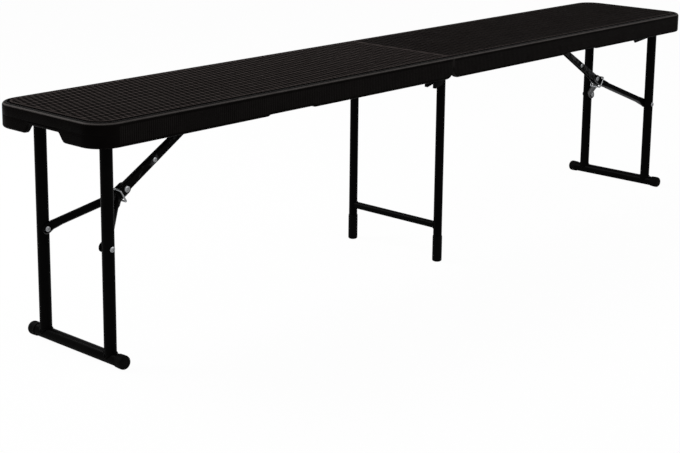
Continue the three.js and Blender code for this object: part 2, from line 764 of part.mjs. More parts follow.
seatHalf('left_seat', -1);
seatHalf('right_seat', 1);
seatHinge();
endLegs('left', -1);
endLegs('right', 1);
centreLeg();
carryStrap();

export default bench;
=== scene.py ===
import json
import math

import bmesh
import bpy
import numpy as np
from mathutils import Matrix, Vector

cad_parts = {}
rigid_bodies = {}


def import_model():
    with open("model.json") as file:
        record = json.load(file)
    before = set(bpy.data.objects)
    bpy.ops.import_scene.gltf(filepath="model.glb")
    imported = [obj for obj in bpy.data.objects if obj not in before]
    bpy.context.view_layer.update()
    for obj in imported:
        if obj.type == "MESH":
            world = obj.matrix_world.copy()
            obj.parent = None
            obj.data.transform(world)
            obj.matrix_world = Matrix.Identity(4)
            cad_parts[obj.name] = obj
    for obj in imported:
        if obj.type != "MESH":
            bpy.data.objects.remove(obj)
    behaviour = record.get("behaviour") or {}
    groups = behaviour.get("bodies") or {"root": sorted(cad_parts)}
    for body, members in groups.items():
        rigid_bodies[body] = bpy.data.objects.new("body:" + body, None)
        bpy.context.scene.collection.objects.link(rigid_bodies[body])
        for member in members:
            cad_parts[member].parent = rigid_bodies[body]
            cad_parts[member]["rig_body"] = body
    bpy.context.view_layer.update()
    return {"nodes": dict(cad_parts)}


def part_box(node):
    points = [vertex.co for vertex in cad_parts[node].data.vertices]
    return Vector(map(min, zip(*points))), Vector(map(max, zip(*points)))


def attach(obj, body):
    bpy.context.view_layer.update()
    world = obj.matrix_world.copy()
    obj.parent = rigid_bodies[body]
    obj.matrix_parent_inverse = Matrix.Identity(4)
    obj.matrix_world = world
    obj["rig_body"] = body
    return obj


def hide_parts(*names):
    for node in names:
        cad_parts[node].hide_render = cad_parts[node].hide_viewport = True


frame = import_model()
mm = 0.001
panelThickness = 14.0


def cadBox(node):
    # a CAD node's low corner, high corner and middle, in millimetres
    low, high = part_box(node)
    return low / mm, high / mm, (low + high) / (2 * mm)


def benchSizes():
    # what several pieces share, in millimetres
    seatLow, seatHigh = cadBox("right_seat")[:2]
    return {
        "halfLength": seatHigh.x,
        "halfWidth": seatHigh.y,
        "topLevel": seatHigh.z,
        "rimLevel": seatLow.z,
        "seamGap": seatLow.x,
        "undersideLevel": seatHigh.z - panelThickness,
        "cornerRadius": 45.0,
        "legY": cadBox("right_leg_tube_far")[2].y,
        "foldLevel": cadBox("hinge_rod")[2].z,
    }


bench = benchSizes()
ends = (("left", -1), ("right", 1))
ways = (("near", -1), ("far", 1))


# node helpers

def feed(tree, node, inputs):
    # each input, by its label or number, gets a value or another node's output
    for socket, value in dict(inputs).items():
        if isinstance(value, bpy.types.NodeSocket):
            tree.links.new(value, node.inputs[socket])
        else:
            node.inputs[socket].default_value = value
    return node


def addNode(tree, kind, inputs=(), **settings):
    node = tree.nodes.new(kind)
    for name, value in settings.items():
        setattr(node, name, value)
    return feed(tree, node, inputs)


def newTree(name, treeKind, inputs, outputs):
    # an empty tree with named inputs and outputs, and the sockets that it is given
    tree = bpy.data.node_groups.new(name, treeKind)
    for label, kind, *value in inputs:
        socket = tree.interface.new_socket(label, in_out='INPUT', socket_type="NodeSocket" + kind)
        if value:
            socket.default_value = value[0]
    for label, kind in outputs:
        tree.interface.new_socket(label, in_out='OUTPUT', socket_type="NodeSocket" + kind)
    return tree, tree.nodes.new("NodeGroupInput").outputs


def endGeometry(tree, geometry, finish):
    # the export drops instances, so a tree ends in real geometry with its material
    real = addNode(tree, "GeometryNodeRealizeInstances", {0: geometry})
    shown = addNode(tree, "GeometryNodeSetMaterial", {"Geometry": real.outputs[0], "Material": finish})
    addNode(tree, "NodeGroupOutput", {0: shown.outputs[0]})
    return tree


def mathNode(tree, operation, *values):
    return addNode(tree, "ShaderNodeMath", enumerate(values), operation=operation).outputs[0]


def noiseNode(tree, where, scale, detail, roughness=0.5):
    return addNode(tree, "ShaderNodeTexNoise", {
        "Vector": where, "Scale": scale, "Detail": detail, "Roughness": roughness,
    }).outputs[0]


def mixColours(tree, share, low, high):
    return addNode(tree, "ShaderNodeMix", {0: share, 6: low, 7: high}, data_type='RGBA').outputs[2]


def bumpNode(tree, height, strength, distance):
    return addNode(tree, "ShaderNodeBump", {
        "Height": height, "Strength": strength, "Distance": distance,
    }).outputs[0]


# scene: camera, floor, light

cameraSetup = {
    "azimuth": -47.729,  # degrees, 0 looks along +Y
    "elevation": 12.187,
    "roll": -0.612,
    "place": (-2426.9, -2040.1, 964.7),
    "focalPixels": 1539.284,
    "centreRow": 120.0,
    "imageWidth": 680,
    "imageHeight": 453,
    "sensorWidth": 36.0,
    "clipEnd": 50,  # metres
}


def makeCamera():
    s = cameraSetup
    az, el = math.radians(s["azimuth"]), math.radians(s["elevation"])
    back = Vector((math.sin(az) * math.cos(el), -math.cos(az) * math.cos(el), math.sin(el)))
    ahead = -back
    right = ahead.cross(Vector((0, 0, 1))).normalized()
    down = ahead.cross(right)
    r = math.radians(s["roll"])
    rolledRight = math.cos(r) * right + math.sin(r) * down
    rolledDown = -math.sin(r) * right + math.cos(r) * down
    turn = Matrix((rolledRight, -rolledDown, back)).transposed()
    data = bpy.data.cameras.new("benchCamera")
    data.sensor_fit = 'HORIZONTAL'
    data.sensor_width = s["sensorWidth"]
    data.lens = s["focalPixels"] / s["imageWidth"] * s["sensorWidth"]
    data.shift_y = (s["centreRow"] - s["imageHeight"] / 2) / s["imageWidth"]
    data.clip_end = s["clipEnd"]
    cam = bpy.data.objects.new("benchCamera", data)
    cam.matrix_world = Matrix.Translation(Vector(s["place"]) * mm) @ turn.to_4x4()
    bpy.context.collection.objects.link(cam)
    bpy.context.scene.camera = cam


lightSetup = {
    "worldStrength": 0.4,
    "floorColour": (0.93, 0.93, 0.93, 1),
    "floorReach": 12.0,  # metres
    "floorGlow": 0.97,  # share of white that only the camera sees
    "lamps": {
        "behindLeft": {"at": (-1.3, 1.7, 2.2), "size": (1.5, 0.8), "power": 60, "to": (-0.5, 0, 0.4)},
        "rightTop": {"at": (2.4, -0.7, 3.0), "size": (1.1, 1.1), "power": 16, "to": (0.2, 0, 0.4)},
        "frontFill": {"at": (0.6, -3.2, 1.7), "size": (2.2, 1.4), "power": 32, "to": (-0.1, 0, 0.35)},
    },
}


def mixShaders(tree, outKind, share, low, high):
    mix = addNode(tree, "ShaderNodeMixShader", {0: share, 1: low.outputs[0], 2: high.outputs[0]})
    addNode(tree, outKind, {0: mix.outputs[0]})


def makeFloor():
    s = lightSetup
    reach = s["floorReach"]
    mesh = bpy.data.meshes.new("floor")
    corners = [(-reach, -reach, 0), (reach, -reach, 0), (reach, reach, 0), (-reach, reach, 0)]
    mesh.from_pydata(corners, [], [(0, 1, 2, 3)])
    floor = bpy.data.objects.new("floor", mesh)
    bpy.context.collection.objects.link(floor)
    mat = bpy.data.materials.new("paleFloor")
    mat.use_nodes = True
    tree = mat.node_tree
    tree.nodes.clear()
    rays = addNode(tree, "ShaderNodeLightPath").outputs
    diffuse = addNode(tree, "ShaderNodeBsdfDiffuse", {"Color": s["floorColour"]})
    share = mathNode(tree, 'MULTIPLY', rays["Is Camera Ray"], s["floorGlow"])
    mixShaders(tree, "ShaderNodeOutputMaterial", share, diffuse, addNode(tree, "ShaderNodeEmission"))
    mesh.materials.append(mat)


def makeWorld():
    # soft light on the bench, and a pale surround for the camera and for reflections
    world = bpy.data.worlds.new("studio")
    bpy.context.scene.world = world
    world.use_nodes = True
    tree = world.node_tree
    tree.nodes.clear()
    rays = addNode(tree, "ShaderNodeLightPath").outputs
    soft = addNode(tree, "ShaderNodeBackground", {"Strength": lightSetup["worldStrength"]})
    share = mathNode(tree, 'MAXIMUM', rays["Is Camera Ray"], rays["Is Glossy Ray"])
    share = mathNode(tree, 'MAXIMUM', share, rays["Is Transmission Ray"])
    mixShaders(tree, "ShaderNodeOutputWorld", share, soft, addNode(tree, "ShaderNodeBackground"))


def makeLamps():
    for name, lamp in lightSetup["lamps"].items():
        data = bpy.data.lights.new(name, 'AREA')
        data.shape = 'RECTANGLE'
        data.size, data.size_y = lamp["size"]
        data.energy = lamp["power"]
        obj = bpy.data.objects.new(name, data)
        at = Vector(lamp["at"])
        aim = (Vector(lamp["to"]) - at).to_track_quat('-Z', 'Y')
        obj.matrix_world = Matrix.Translation(at) @ aim.to_matrix().to_4x4()
        bpy.context.collection.objects.link(obj)


makeCamera()
makeFloor()
makeWorld()
makeLamps()
bpy.context.scene.view_settings.view_transform = 'Standard'
print("scene: camera, floor and light")


# shared shader effects

shaderLooks = {
    "dustFrom": 0.42,  # bare where the noise is lower
    "dustFull": 0.78,
    "highlightAndScuffSpread": 0.8,  # how much the painted highlight and the scuffing vary from place to place
    "highlightAndScuffLeast": 0.6,
    "yarnLeast": 0.45,  # painted shade: the share of the tint between the yarns
    "yarnShade": 0.55,  # what a yarn's crest adds to it
    "scuffFrom": 0.5,
    "scuffFull": 0.64,
}


def makeGrainGroup():
    # fine moulded or sprayed grain with slow patches on top
    tree, given = newTree("surfaceGrain", 'ShaderNodeTree', [
        ("Vector", "Vector"), ("Fine Scale", "Float", 900.0), ("Patch Scale", "Float", 6.0),
    ], [("Height", "Float"), ("Patches", "Float")])
    addNode(tree, "NodeGroupOutput", {
        "Height": noiseNode(tree, given["Vector"], given["Fine Scale"], 3),
        "Patches": noiseNode(tree, given["Vector"], given["Patch Scale"], 4, 0.6),
    })
    return tree


def makeDustGroup():
    # a little pale dust that gathers in patches
    tree, given = newTree("dustAndHandling", 'ShaderNodeTree', [
        ("Vector", "Vector"), ("Base", "Color", (0.02, 0.02, 0.02, 1)),
        ("Dust", "Color", (0.2, 0.19, 0.18, 1)), ("Amount", "Float", 0.05), ("Scale", "Float", 20.0),
    ], [("Colour", "Color")])
    ramp = addNode(tree, "ShaderNodeValToRGB", {0: noiseNode(tree, given["Vector"], given["Scale"], 6, 0.7)})
    ramp.color_ramp.elements[0].position = shaderLooks["dustFrom"]
    ramp.color_ramp.elements[1].position = shaderLooks["dustFull"]
    mask = mathNode(tree, 'MULTIPLY', ramp.outputs[0], given["Amount"])
    addNode(tree, "NodeGroupOutput", {"Colour": mixColours(tree, mask, given["Base"], given["Dust"])})
    return tree


def makeHighlightAndScuffGroup():
    # lighter where the piece's own mask says so: painted highlights on what stands highest and on lit edges,
    # and real scuffs on the strut
    tree, given = newTree("paintedHighlightAndScuff", 'ShaderNodeTree', [
        ("Vector", "Vector"), ("Base", "Color", (0.02, 0.02, 0.02, 1)),
        ("Worn", "Color", (0.05, 0.05, 0.05, 1)), ("Wear", "Float", 0.0), ("Uneven Scale", "Float", 60.0),
    ], [("Colour", "Color")])
    patches = noiseNode(tree, given["Vector"], given["Uneven Scale"], 3)
    uneven = mathNode(tree, 'MULTIPLY', patches, shaderLooks["highlightAndScuffSpread"])
    uneven = mathNode(tree, 'ADD', uneven, shaderLooks["highlightAndScuffLeast"])
    mask = mathNode(tree, 'MULTIPLY', given["Wear"], uneven)
    addNode(tree, "NodeGroupOutput", {"Colour": mixColours(tree, mask, given["Base"], given["Worn"])})
    return tree


def makeWebbingGroup():
    # plain weave in the strap's own UV, U along it and V across it, both in metres
    tree, given = newTree("webbingWeave", 'ShaderNodeTree', [
        ("UV", "Vector"), ("Yarn", "Float", 0.0016),
    ], [("Height", "Float"), ("Shade", "Float")])
    split = addNode(tree, "ShaderNodeSeparateXYZ", {0: given["UV"]}).outputs
    along = mathNode(tree, 'DIVIDE', split[0], given["Yarn"])
    across = mathNode(tree, 'DIVIDE', split[1], given["Yarn"])
    diagonal = mathNode(tree, 'ADD', along, across)
    ridges = mathNode(tree, 'SINE', mathNode(tree, 'MULTIPLY', diagonal, math.pi))
    rows = mathNode(tree, 'SINE', mathNode(tree, 'MULTIPLY', across, math.pi * 2))
    height = mathNode(tree, 'MULTIPLY', mathNode(tree, 'ABSOLUTE', ridges), mathNode(tree, 'ABSOLUTE', rows))
    # painted shade: the webbing is darker between the yarns than on their crests
    shade = mathNode(tree, 'MULTIPLY', height, shaderLooks["yarnShade"])
    shade = mathNode(tree, 'ADD', shade, shaderLooks["yarnLeast"])
    addNode(tree, "NodeGroupOutput", {"Height": height, "Shade": shade})
    return tree


grainGroup = makeGrainGroup()
dustGroup = makeDustGroup()
highlightAndScuffGroup = makeHighlightAndScuffGroup()
webbingGroup = makeWebbingGroup()


# finishes: colours are linear, scales count per metre, bump heights are in metres

plainFinish = {
    "metallic": 0.0, "specular": 0.5, "roughness": 0.38, "spread": 0.10, "patchScale": 6.0,
    "fine": 1500, "bumpStrength": 0.6, "bump": 0.00006,
    "dustColour": (0.06, 0.055, 0.05), "dustScale": 20.0,
}
finishes = {
    # its second colour is painted highlight on the rim edge, the seam edges, the seam corner and the rib
    # crests
    "seatPlastic": {
        "colour": (0.0020, 0.0015, 0.0014), "roughness": 0.42, "specular": 0.008, "spread": 0.08,
        "fine": 1400, "dust": 0.03, "slot": "seat_plastic", "highlightAndScuff": (0.075, 0.068, 0.065),
    },
    # nearly black base, so the hollows read as painted shade; its second colour is painted highlight on the
    # bead crests, the lip and the seam
    "wovenPlastic": {
        "colour": (0.0006, 0.0005, 0.0005), "roughness": 0.6, "specular": 0.002, "spread": 0.12,
        "fine": 1700, "bump": 0.00004, "dust": 0.05, "slot": "seat_plastic",
        "highlightAndScuff": (0.058, 0.0475, 0.045),
    },
    # painted lighter than the seat's own plastic, a painted fill for the shaded underside
    "seatUnderside": {
        "colour": (0.0052, 0.0043, 0.0041), "roughness": 0.6, "specular": 0.02, "spread": 0.08,
        "fine": 900, "bump": 0.00012, "dust": 0.05, "slot": "seat_plastic",
        "highlightAndScuff": (0.03, 0.028, 0.027),
    },
    # its second colour is a painted highlight along the brace arms' lower edge
    "blackPowder": {
        "colour": (0.0019, 0.0018, 0.0018), "roughness": 0.34, "specular": 0.01,
        "fine": 1100, "bump": 0.00005, "dust": 0.02, "slot": "black_tube", "highlightAndScuff": (0.13, 0.13, 0.132),
    },
    "blackPressed": {
        "colour": (0.0030, 0.0029, 0.0029), "specular": 0.012,
        "fine": 1000, "dust": 0.03, "slot": "black_fittings", "highlightAndScuff": (0.02, 0.02, 0.02),
    },
    "scuffedStrut": {
        "colour": (0.0020, 0.0019, 0.0019), "roughness": 0.36, "specular": 0.012,
        "fine": 1100, "bump": 0.00005, "dust": 0.02, "slot": "black_tube",
        "highlightAndScuff": (0.07, 0.07, 0.072), "scuff": 0.75, "scuffScale": 38,
    },
    "footRubber": {
        "colour": (0.0018, 0.0017, 0.0017), "roughness": 0.6, "specular": 0.02,
        "bump": 0.0001, "dust": 0.06, "slot": "foot_rubber", "highlightAndScuff": (0.02, 0.02, 0.02),
    },
    "tipPlastic": {
        "colour": (0.0020, 0.0020, 0.0020), "roughness": 0.46, "specular": 0.02,
        "dust": 0.04, "slot": "tip_plastic", "highlightAndScuff": (0.02, 0.02, 0.02),
    },
    "brightZinc": {
        "colour": (0.34, 0.35, 0.36), "metallic": 1.0, "roughness": 0.32, "patchScale": 160,
        "fine": 700, "bumpStrength": 0.4, "bump": 0.00004, "slot": "zinc",
        "dust": 0.5, "dustColour": (0.12, 0.115, 0.11), "dustScale": 300,
    },
}
webbings = {
    "blackWebbing": {"tint": (0.022, 0.022, 0.023), "yarn": 0.0016},
    "stitchThread": {"tint": (0.035, 0.035, 0.036), "yarn": 0.0004},
}
webbingFinish = {
    "roughness": 0.85, "specular": 0.2, "sheen": 0.15, "bumpStrength": 0.8, "bump": 0.0003,
    "hollowShare": 0.35,  # painted shade: of the tint, between the yarns
}


def newMaterial(name, slot):
    mat = bpy.data.materials.new(name)
    mat.use_nodes = True
    return mat, mat.node_tree, mat.node_tree.nodes["Principled BSDF"]


def placeGroup(tree, group, inputs):
    return addNode(tree, "ShaderNodeGroup", inputs, node_tree=group).outputs


def highlightAndScuffSource(tree, look, where):
    # scuffed pieces are worn in patches, the others get painted highlights where their mesh says so
    if "scuff" not in look:
        return addNode(tree, "ShaderNodeAttribute", attribute_name="paintedHighlight").outputs["Fac"]
    return addNode(tree, "ShaderNodeMapRange", {
        "Value": noiseNode(tree, where, look["scuffScale"], 5, 0.7),
        "From Min": shaderLooks["scuffFrom"], "From Max": shaderLooks["scuffFull"],
        "To Max": look["scuff"],
    }).outputs[0]


def makeFinish(name, changes):
    look = {**plainFinish, **changes}
    mat, tree, bsdf = newMaterial(name, look["slot"])
    where = addNode(tree, "ShaderNodeTexCoord").outputs["Object"]
    grain = placeGroup(tree, grainGroup, {
        "Vector": where, "Fine Scale": look["fine"], "Patch Scale": look["patchScale"],
    })
    colour = placeGroup(tree, dustGroup, {
        "Vector": where, "Base": (*look["colour"], 1), "Dust": (*look["dustColour"], 1),
        "Amount": look["dust"], "Scale": look["dustScale"],
    })["Colour"]
    # mixes toward the second colour: painted highlights on most pieces, real scuffs on the strut
    if "highlightAndScuff" in look:
        colour = placeGroup(tree, highlightAndScuffGroup, {
            "Vector": where, "Base": colour, "Worn": (*look["highlightAndScuff"], 1),
            "Wear": highlightAndScuffSource(tree, look, where),
        })["Colour"]
    rough = addNode(tree, "ShaderNodeMapRange", {
        "Value": grain["Patches"],
        "To Min": look["roughness"] - look["spread"], "To Max": look["roughness"] + look["spread"],
    })
    feed(tree, bsdf, {
        "Base Color": colour,
        "Roughness": rough.outputs[0],
        "Metallic": look["metallic"],
        "Specular IOR Level": look["specular"],
        "Normal": bumpNode(tree, grain["Height"], look["bumpStrength"], look["bump"]),
    })
    return mat


def makeWebbing(name, changes):
    look = {**webbingFinish, **changes}
    mat, tree, bsdf = newMaterial(name, "webbing")
    uv = addNode(tree, "ShaderNodeUVMap").outputs[0]
    weave = placeGroup(tree, webbingGroup, {"UV": uv, "Yarn": look["yarn"]})
    hollow = [v * look["hollowShare"] for v in look["tint"]]
    feed(tree, bsdf, {
        "Base Color": mixColours(tree, weave["Shade"], (*hollow, 1), (*look["tint"], 1)),
        "Roughness": look["roughness"],
        "Specular IOR Level": look["specular"],
        "Sheen Weight": look["sheen"],
        "Normal": bumpNode(tree, weave["Height"], look["bumpStrength"], look["bump"]),
    })
    return mat


materials = {name: makeFinish(name, look) for name, look in finishes.items()}
materials.update({name: makeWebbing(name, look) for name, look in webbings.items()})
print("materials:", len(materials))


# mesh helpers

def finishPiece(name, mesh, body, finish, replaced=(), smooth=35):
    obj = bpy.data.objects.new(name, mesh)
    bpy.context.collection.objects.link(obj)
    if not mesh.materials:
        mesh.materials.append(materials[finish])
    mesh.shade_smooth()
    mesh.set_sharp_from_angle(angle=math.radians(smooth))
    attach(obj, body)
    if replaced:
        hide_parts(*replaced)


def bmeshToMesh(name, bm):
    bmesh.ops.recalc_face_normals(bm, faces=bm.faces)
    mesh = bpy.data.meshes.new(name)
    bm.to_mesh(mesh)
    bm.free()
    return mesh


def makePiece(name, body, finish, replaced, addShape, *shape, smooth=35):
    # one piece from one call that adds its shape to an empty mesh
    bm = bmesh.new()
    addShape(bm, *shape)
    finishPiece(name, bmeshToMesh(name, bm), body, finish, replaced, smooth)


def smoothStep(value):
    value = min(max(value, 0.0), 1.0)
    return value * value * (3 - 2 * value)


def addTurned(bm, profile, origin, axis, segments=32):
    # a closed body of revolution from (radius, height) points that start and end on the axis
    axis = Vector(axis).normalized()
    side = axis.orthogonal().normalized()
    other = axis.cross(side)
    rings = []
    for radius, height in profile:
        centre = (Vector(origin) + axis * height) * mm
        turns = [2 * math.pi * i / segments for i in range(segments if radius else 1)]
        rings.append([bm.verts.new(centre + (side * math.cos(t) + other * math.sin(t)) * radius * mm)
                      for t in turns])
    for low, high in zip(rings, rings[1:]):
        for i in range(segments):
            j = (i + 1) % segments
            if len(low) == 1:
                bm.faces.new((low[0], high[i], high[j]))
            elif len(high) == 1:
                bm.faces.new((low[i], low[j], high[0]))
            else:
                bm.faces.new((low[i], low[j], high[j], high[i]))


def addSkin(bm, rings, looped=False):
    # joins rings of points, given in millimetres, into one closed skin
    made = [[bm.verts.new(Vector(p) * mm) for p in ring] for ring in rings]
    count = len(made[0])
    pairs = list(zip(made, made[1:]))
    if looped:
        pairs.append((made[-1], made[0]))
    for low, high in pairs:
        for i in range(count):
            j = (i + 1) % count
            bm.faces.new((low[i], low[j], high[j], high[i]))
    if not looped:
        bm.faces.new(made[0])
        bm.faces.new(made[-1])
    return made


def arcPoints(centre, radius, start, end, steps):
    # points of an arc in (radius, height), angles in degrees
    turns = [math.radians(start + (end - start) * i / steps) for i in range(steps + 1)]
    return [(centre[0] + radius * math.cos(t), centre[1] + radius * math.sin(t)) for t in turns]


sectionSquareness = 0.62


def sectionPoints(wide, deep, square, count=24):
    # from a circle at square 0 to a rounded rectangle at square 1
    power = 1 - sectionSquareness * square
    points = []
    for i in range(count):
        t = 2 * math.pi * (i + 0.5) / count
        c, s = math.cos(t), math.sin(t)
        points.append((wide * math.copysign(abs(c) ** power, c), deep * math.copysign(abs(s) ** power, s)))
    return points


# seat shells: rim band, groove, ribbed walls, hand notch and underside

seatShell = {
    "bandRadius": 6.0,  # rounding of the upper edge
    "bandTop": 433.8,
    "bandWidth": 8.6,
    "grooveWidth": 4.4,
    "grooveFloor": 430.8,
    "underPanel": (1.6, -0.3),  # the floor's two points at the panel's edge
    "grooveRise": ((0.5, 0.0), (0.2, 0.9)),  # (beyond the band, above the floor)
    "bandEdge": ((0.1, 0.5), (0.8, 0.08)),  # (inside the band, below its top)
    "wallThickness": 11.0,
    "cornerSteps": 16,
    "endSteps": 60,
    "ribPitch": 4.6,
    "ribDepth": 0.38,
    "samplesPerRib": 5,
    "ribStart": 8.0,  # the ribs rise over this run from the seam
    "ribLow": 1.5,  # their upper ends, below the rounded edge
    "ribFade": 1.4,
    "ribEnds": (2.4, 1.0),  # the ribs' last level and the smooth rim's first, above its rounding
    "lowerRound": 4.0,
    "wallEdge": ((1.5, 0.0), (0.4, 0.4), (0.0, 1.5)),  # (outside its inner face, above the rim)
    "undersideEdge": ((0.0, 2.0), (0.6, 0.6), (2.0, 0.0)),  # (inside the wall, below the underside)
    "liftFrom": 405.0,  # a raised lower edge takes the wall along up to here
    "liftShare": 0.4,
    "seamCorner": 18.0,
    "seamEase": 1.6,  # rounding of the top edge at the seam
    "seamDrop": 0.6,  # its depth, as a share of its length
    "notchHalf": 55.0,
    "notchTopHalf": 38.0,
    "notchDepth": 16.0,
    "recessMiddle": 467.0,
    "recessHalf": 62.0,
    "recessRamp": 8.0,
    "recessDepth": 2.5,
    "partingLevel": 413.0,
    "partingDepth": 0.28,
    "partingHalf": 0.8,
}
# painted highlights on the seat shell: a line on the rounded rim edge, the rib crests, the upright seam edge
# and a glint on the lower seam corner
shellPaintedHighlight = {
    "low": 3.7,  # the painted highlight line on the rounded edge, below the band
    "high": 1.5,
    "fadeBelow": 1.2,
    "fadeAbove": 0.8,
    # painted highlight on the rib crests
    "rib": 0.085,
    "seam": 0.16,  # painted highlight on the upright edge at the seam
    "seamWidth": 5.0,
    "seamLow": 402.0,
    "seamFade": 20.0,
    "corner": 0.35,  # painted glint on the lower corner at the seam
    "cornerStart": 10.0,
    "cornerFade": 6.0,
    "cornerHeight": 4.0,
}
panelInset = seatShell["bandWidth"] + seatShell["grooveWidth"]


def shellPath():
    # points round the rim from the near seam corner to the far one: place, inward normal, run
    s, r = bench, bench["cornerRadius"]
    straight = s["halfLength"] - r
    step = seatShell["ribPitch"] / seatShell["samplesPerRib"]
    count = round((straight - s["seamGap"]) / step)
    xs = [s["seamGap"] + (straight - s["seamGap"]) * i / count for i in range(count)]
    half = [((x, -s["halfWidth"]), (0, 1), x) for x in xs]
    yc = s["halfWidth"] - r
    for i in range(seatShell["cornerSteps"] + 1):
        t = math.pi / 2 * i / seatShell["cornerSteps"]
        out = (math.sin(t), -math.cos(t))
        half.append(((straight + r * out[0], -yc + r * out[1]), (-out[0], -out[1]), straight))
    steps = seatShell["endSteps"]
    end = [((s["halfLength"], -yc + 2 * yc * i / steps), (-1, 0), None) for i in range(1, steps)]
    far = [((p[0], -p[1]), (n[0], -n[1]), run) for p, n, run in reversed(half)]
    return half + end + far, len(half)


def rimLift(point, run):
    # how far the lower edge is raised: seam corner, strap dip and hand notch
    s = seatShell
    if run is None:
        slope = (s["notchHalf"] - abs(point[1])) / (s["notchHalf"] - s["notchTopHalf"])
        return s["notchDepth"] * smoothStep(slope)
    r = s["seamCorner"]
    fromSeam = point[0] - bench["seamGap"]
    if fromSeam < r:
        return r - math.sqrt(max(r * r - (r - fromSeam) ** 2, 0))
    reach = s["recessHalf"] - abs(point[0] - s["recessMiddle"])
    return s["recessDepth"] * smoothStep(reach / s["recessRamp"])


def shellProfile():
    # (inset, level, share of the lower edge's lift, ribbed) from under the woven panel to the underside
    s = seatShell
    top, edge, floor, wall = s["bandTop"], s["bandWidth"], s["grooveFloor"], s["wallThickness"]
    r, q = s["bandRadius"], s["lowerRound"]
    rim, under, line = bench["rimLevel"], bench["undersideLevel"], s["partingLevel"]
    ribTop, low = top - r - s["ribLow"], rim + q
    upper = [(panelInset + inner, floor) for inner in s["underPanel"]]
    upper += [(edge + beyond, floor + rise) for beyond, rise in s["grooveRise"]]
    upper += [(edge - inner, top - fall) for inner, fall in s["bandEdge"]]
    upper += arcPoints((r, top - r), r, 90, 180, 9) + [(0, ribTop)]
    ribbed = [(0, ribTop - s["ribFade"], 0), (0, line + s["partingHalf"], 0), (s["partingDepth"], line, 0)]
    ribbed += [(0, line - s["partingHalf"], 0), (0, s["liftFrom"], s["liftShare"])]
    ribEnd, rimStart = s["ribEnds"]
    ribbed.append((0, low + ribEnd, 1))
    lower = [(0, low + rimStart)] + arcPoints((q, low), q, 180, 270, 4)
    lower += [(wall - outer, rim + rise) for outer, rise in s["wallEdge"]]
    inner = [(wall + beyond, under - fall) for beyond, fall in s["undersideEdge"]]
    rows = [(inset, level, 0, 0) for inset, level in upper]
    rows += [(inset, level, lifts, 1) for inset, level, lifts in ribbed]
    rows += [(inset, level, 1, 0) for inset, level in lower]
    return rows + [(inset, level, 0, 0) for inset, level in inner]


def rimPaintedHighlight(inset, level, lifts, fromSeam):
    # painted highlight: the rounded upper edge, the edges at the seam and the lower corner at the seam
    p = shellPaintedHighlight
    if inset > seatShell["bandWidth"]:
        return 0
    below = seatShell["bandTop"] - level
    edge = smoothStep((p["low"] - below) / p["fadeBelow"])
    edge *= smoothStep((below - p["high"]) / p["fadeAbove"] + 1)
    seam = smoothStep(1 - fromSeam / p["seamWidth"]) * smoothStep((level - p["seamLow"]) / p["seamFade"])
    corner = lifts * smoothStep(1 - (fromSeam - p["cornerStart"]) / p["cornerFade"])
    corner *= smoothStep(1 - (level - bench["rimLevel"]) / p["cornerHeight"])
    return min(edge + p["seam"] * seam + p["corner"] * corner, 1)


def addCap(bm, ring, cornerCount, finishIndex):
    # closes a ring that is symmetric about the long axis
    last, k = len(ring) - 1, cornerCount - 2
    faces = [bm.faces.new((ring[i], ring[i + 1], ring[last - i - 1], ring[last - i])) for i in range(k)]
    faces.append(bm.faces.new(ring[k:last - k + 1]))
    for face in faces:
        face.material_index = finishIndex


def makeSeatShell(side, body, node):
    s = seatShell
    path, cornerCount = shellPath()
    bm = bmesh.new()
    paintedHighlight = bm.verts.layers.float.new("paintedHighlight")
    grid = []
    for inset, level, lifts, ribbed in shellProfile():
        ring = []
        for point, inward, run in path:
            fromSeam = point[0] - bench["seamGap"]
            rise = rimLift(point, run) * lifts
            deep, crest = inset, 0.0
            if ribbed and run is not None and run < bench["halfLength"] - bench["cornerRadius"]:
                wave = 0.5 - 0.5 * math.cos(2 * math.pi * run / s["ribPitch"])
                deep += s["ribDepth"] * wave * smoothStep(run / s["ribStart"])
                # painted highlight on each rib's crest
                crest = shellPaintedHighlight["rib"] * (1 - wave)
            if run is not None and level > s["grooveFloor"] + 0.5:
                rise -= s["seamEase"] * s["seamDrop"] * (1 - smoothStep(fromSeam / s["seamEase"]))
            x = (point[0] + inward[0] * deep) * side
            y = point[1] + inward[1] * deep
            vert = bm.verts.new(Vector((x, y, level + rise)) * mm)
            vert[paintedHighlight] = max(rimPaintedHighlight(inset, level, lifts, fromSeam), crest)
            ring.append(vert)
        grid.append(ring)
    for upper, lower in zip(grid, grid[1:]):
        for i in range(len(path) - 1):
            bm.faces.new((upper[i], upper[i + 1], lower[i + 1], lower[i]))
    addCap(bm, grid[0], cornerCount, 0)
    addCap(bm, grid[-1], cornerCount, 1)
    bm.faces.new([ring[0] for ring in grid] + [ring[-1] for ring in reversed(grid)])
    mesh = bmeshToMesh(node + "Shell", bm)
    mesh.materials.append(materials["seatPlastic"])
    mesh.materials.append(materials["seatUnderside"])
    finishPiece(node + "Shell", mesh, body, "seatPlastic", [node])


# woven panels: the relief is a Geometry Nodes grid, trimmed to the panel's outline

wovenPanel = {
    "beadPitch": 11.9,  # along the bench, the next row stands half a pitch over
    "rowPitch": 20.5,  # across the bench
    "relief": 1.5,
    "slitShare": 0.32,  # lower gives wider dark slits between the beads
    "beadRound": 0.55,
    "samplesPerBead": 8,
    "samplesPerRow": 8,
    "lipWidth": 3.8,
    "lipRound": 1.6,
    "lipFall": 0.9,
    "lipLevel": 434.7,
    "lipBlend": 1.6,  # from the lip into the weave
    "seamLip": 5.0,  # smooth border along the seam
    "seamBlend": 1.5,
    # painted highlights: lines on the lip and along the seam, and the bead crests
    "lipHighlight": 0.62,
    "lipFade": 0.8,
    "seamHighlight": 0.55,
    "crestShare": 3.0,  # higher keeps the painted highlight nearer the crests
    # painted light: the left half's crests lighter than the right's, as light falls
    "halfHighlight": {-1: 1.0, 1: 0.5},
    "panelFloor": 431.5,
    "mergeReach": 0.01,
}


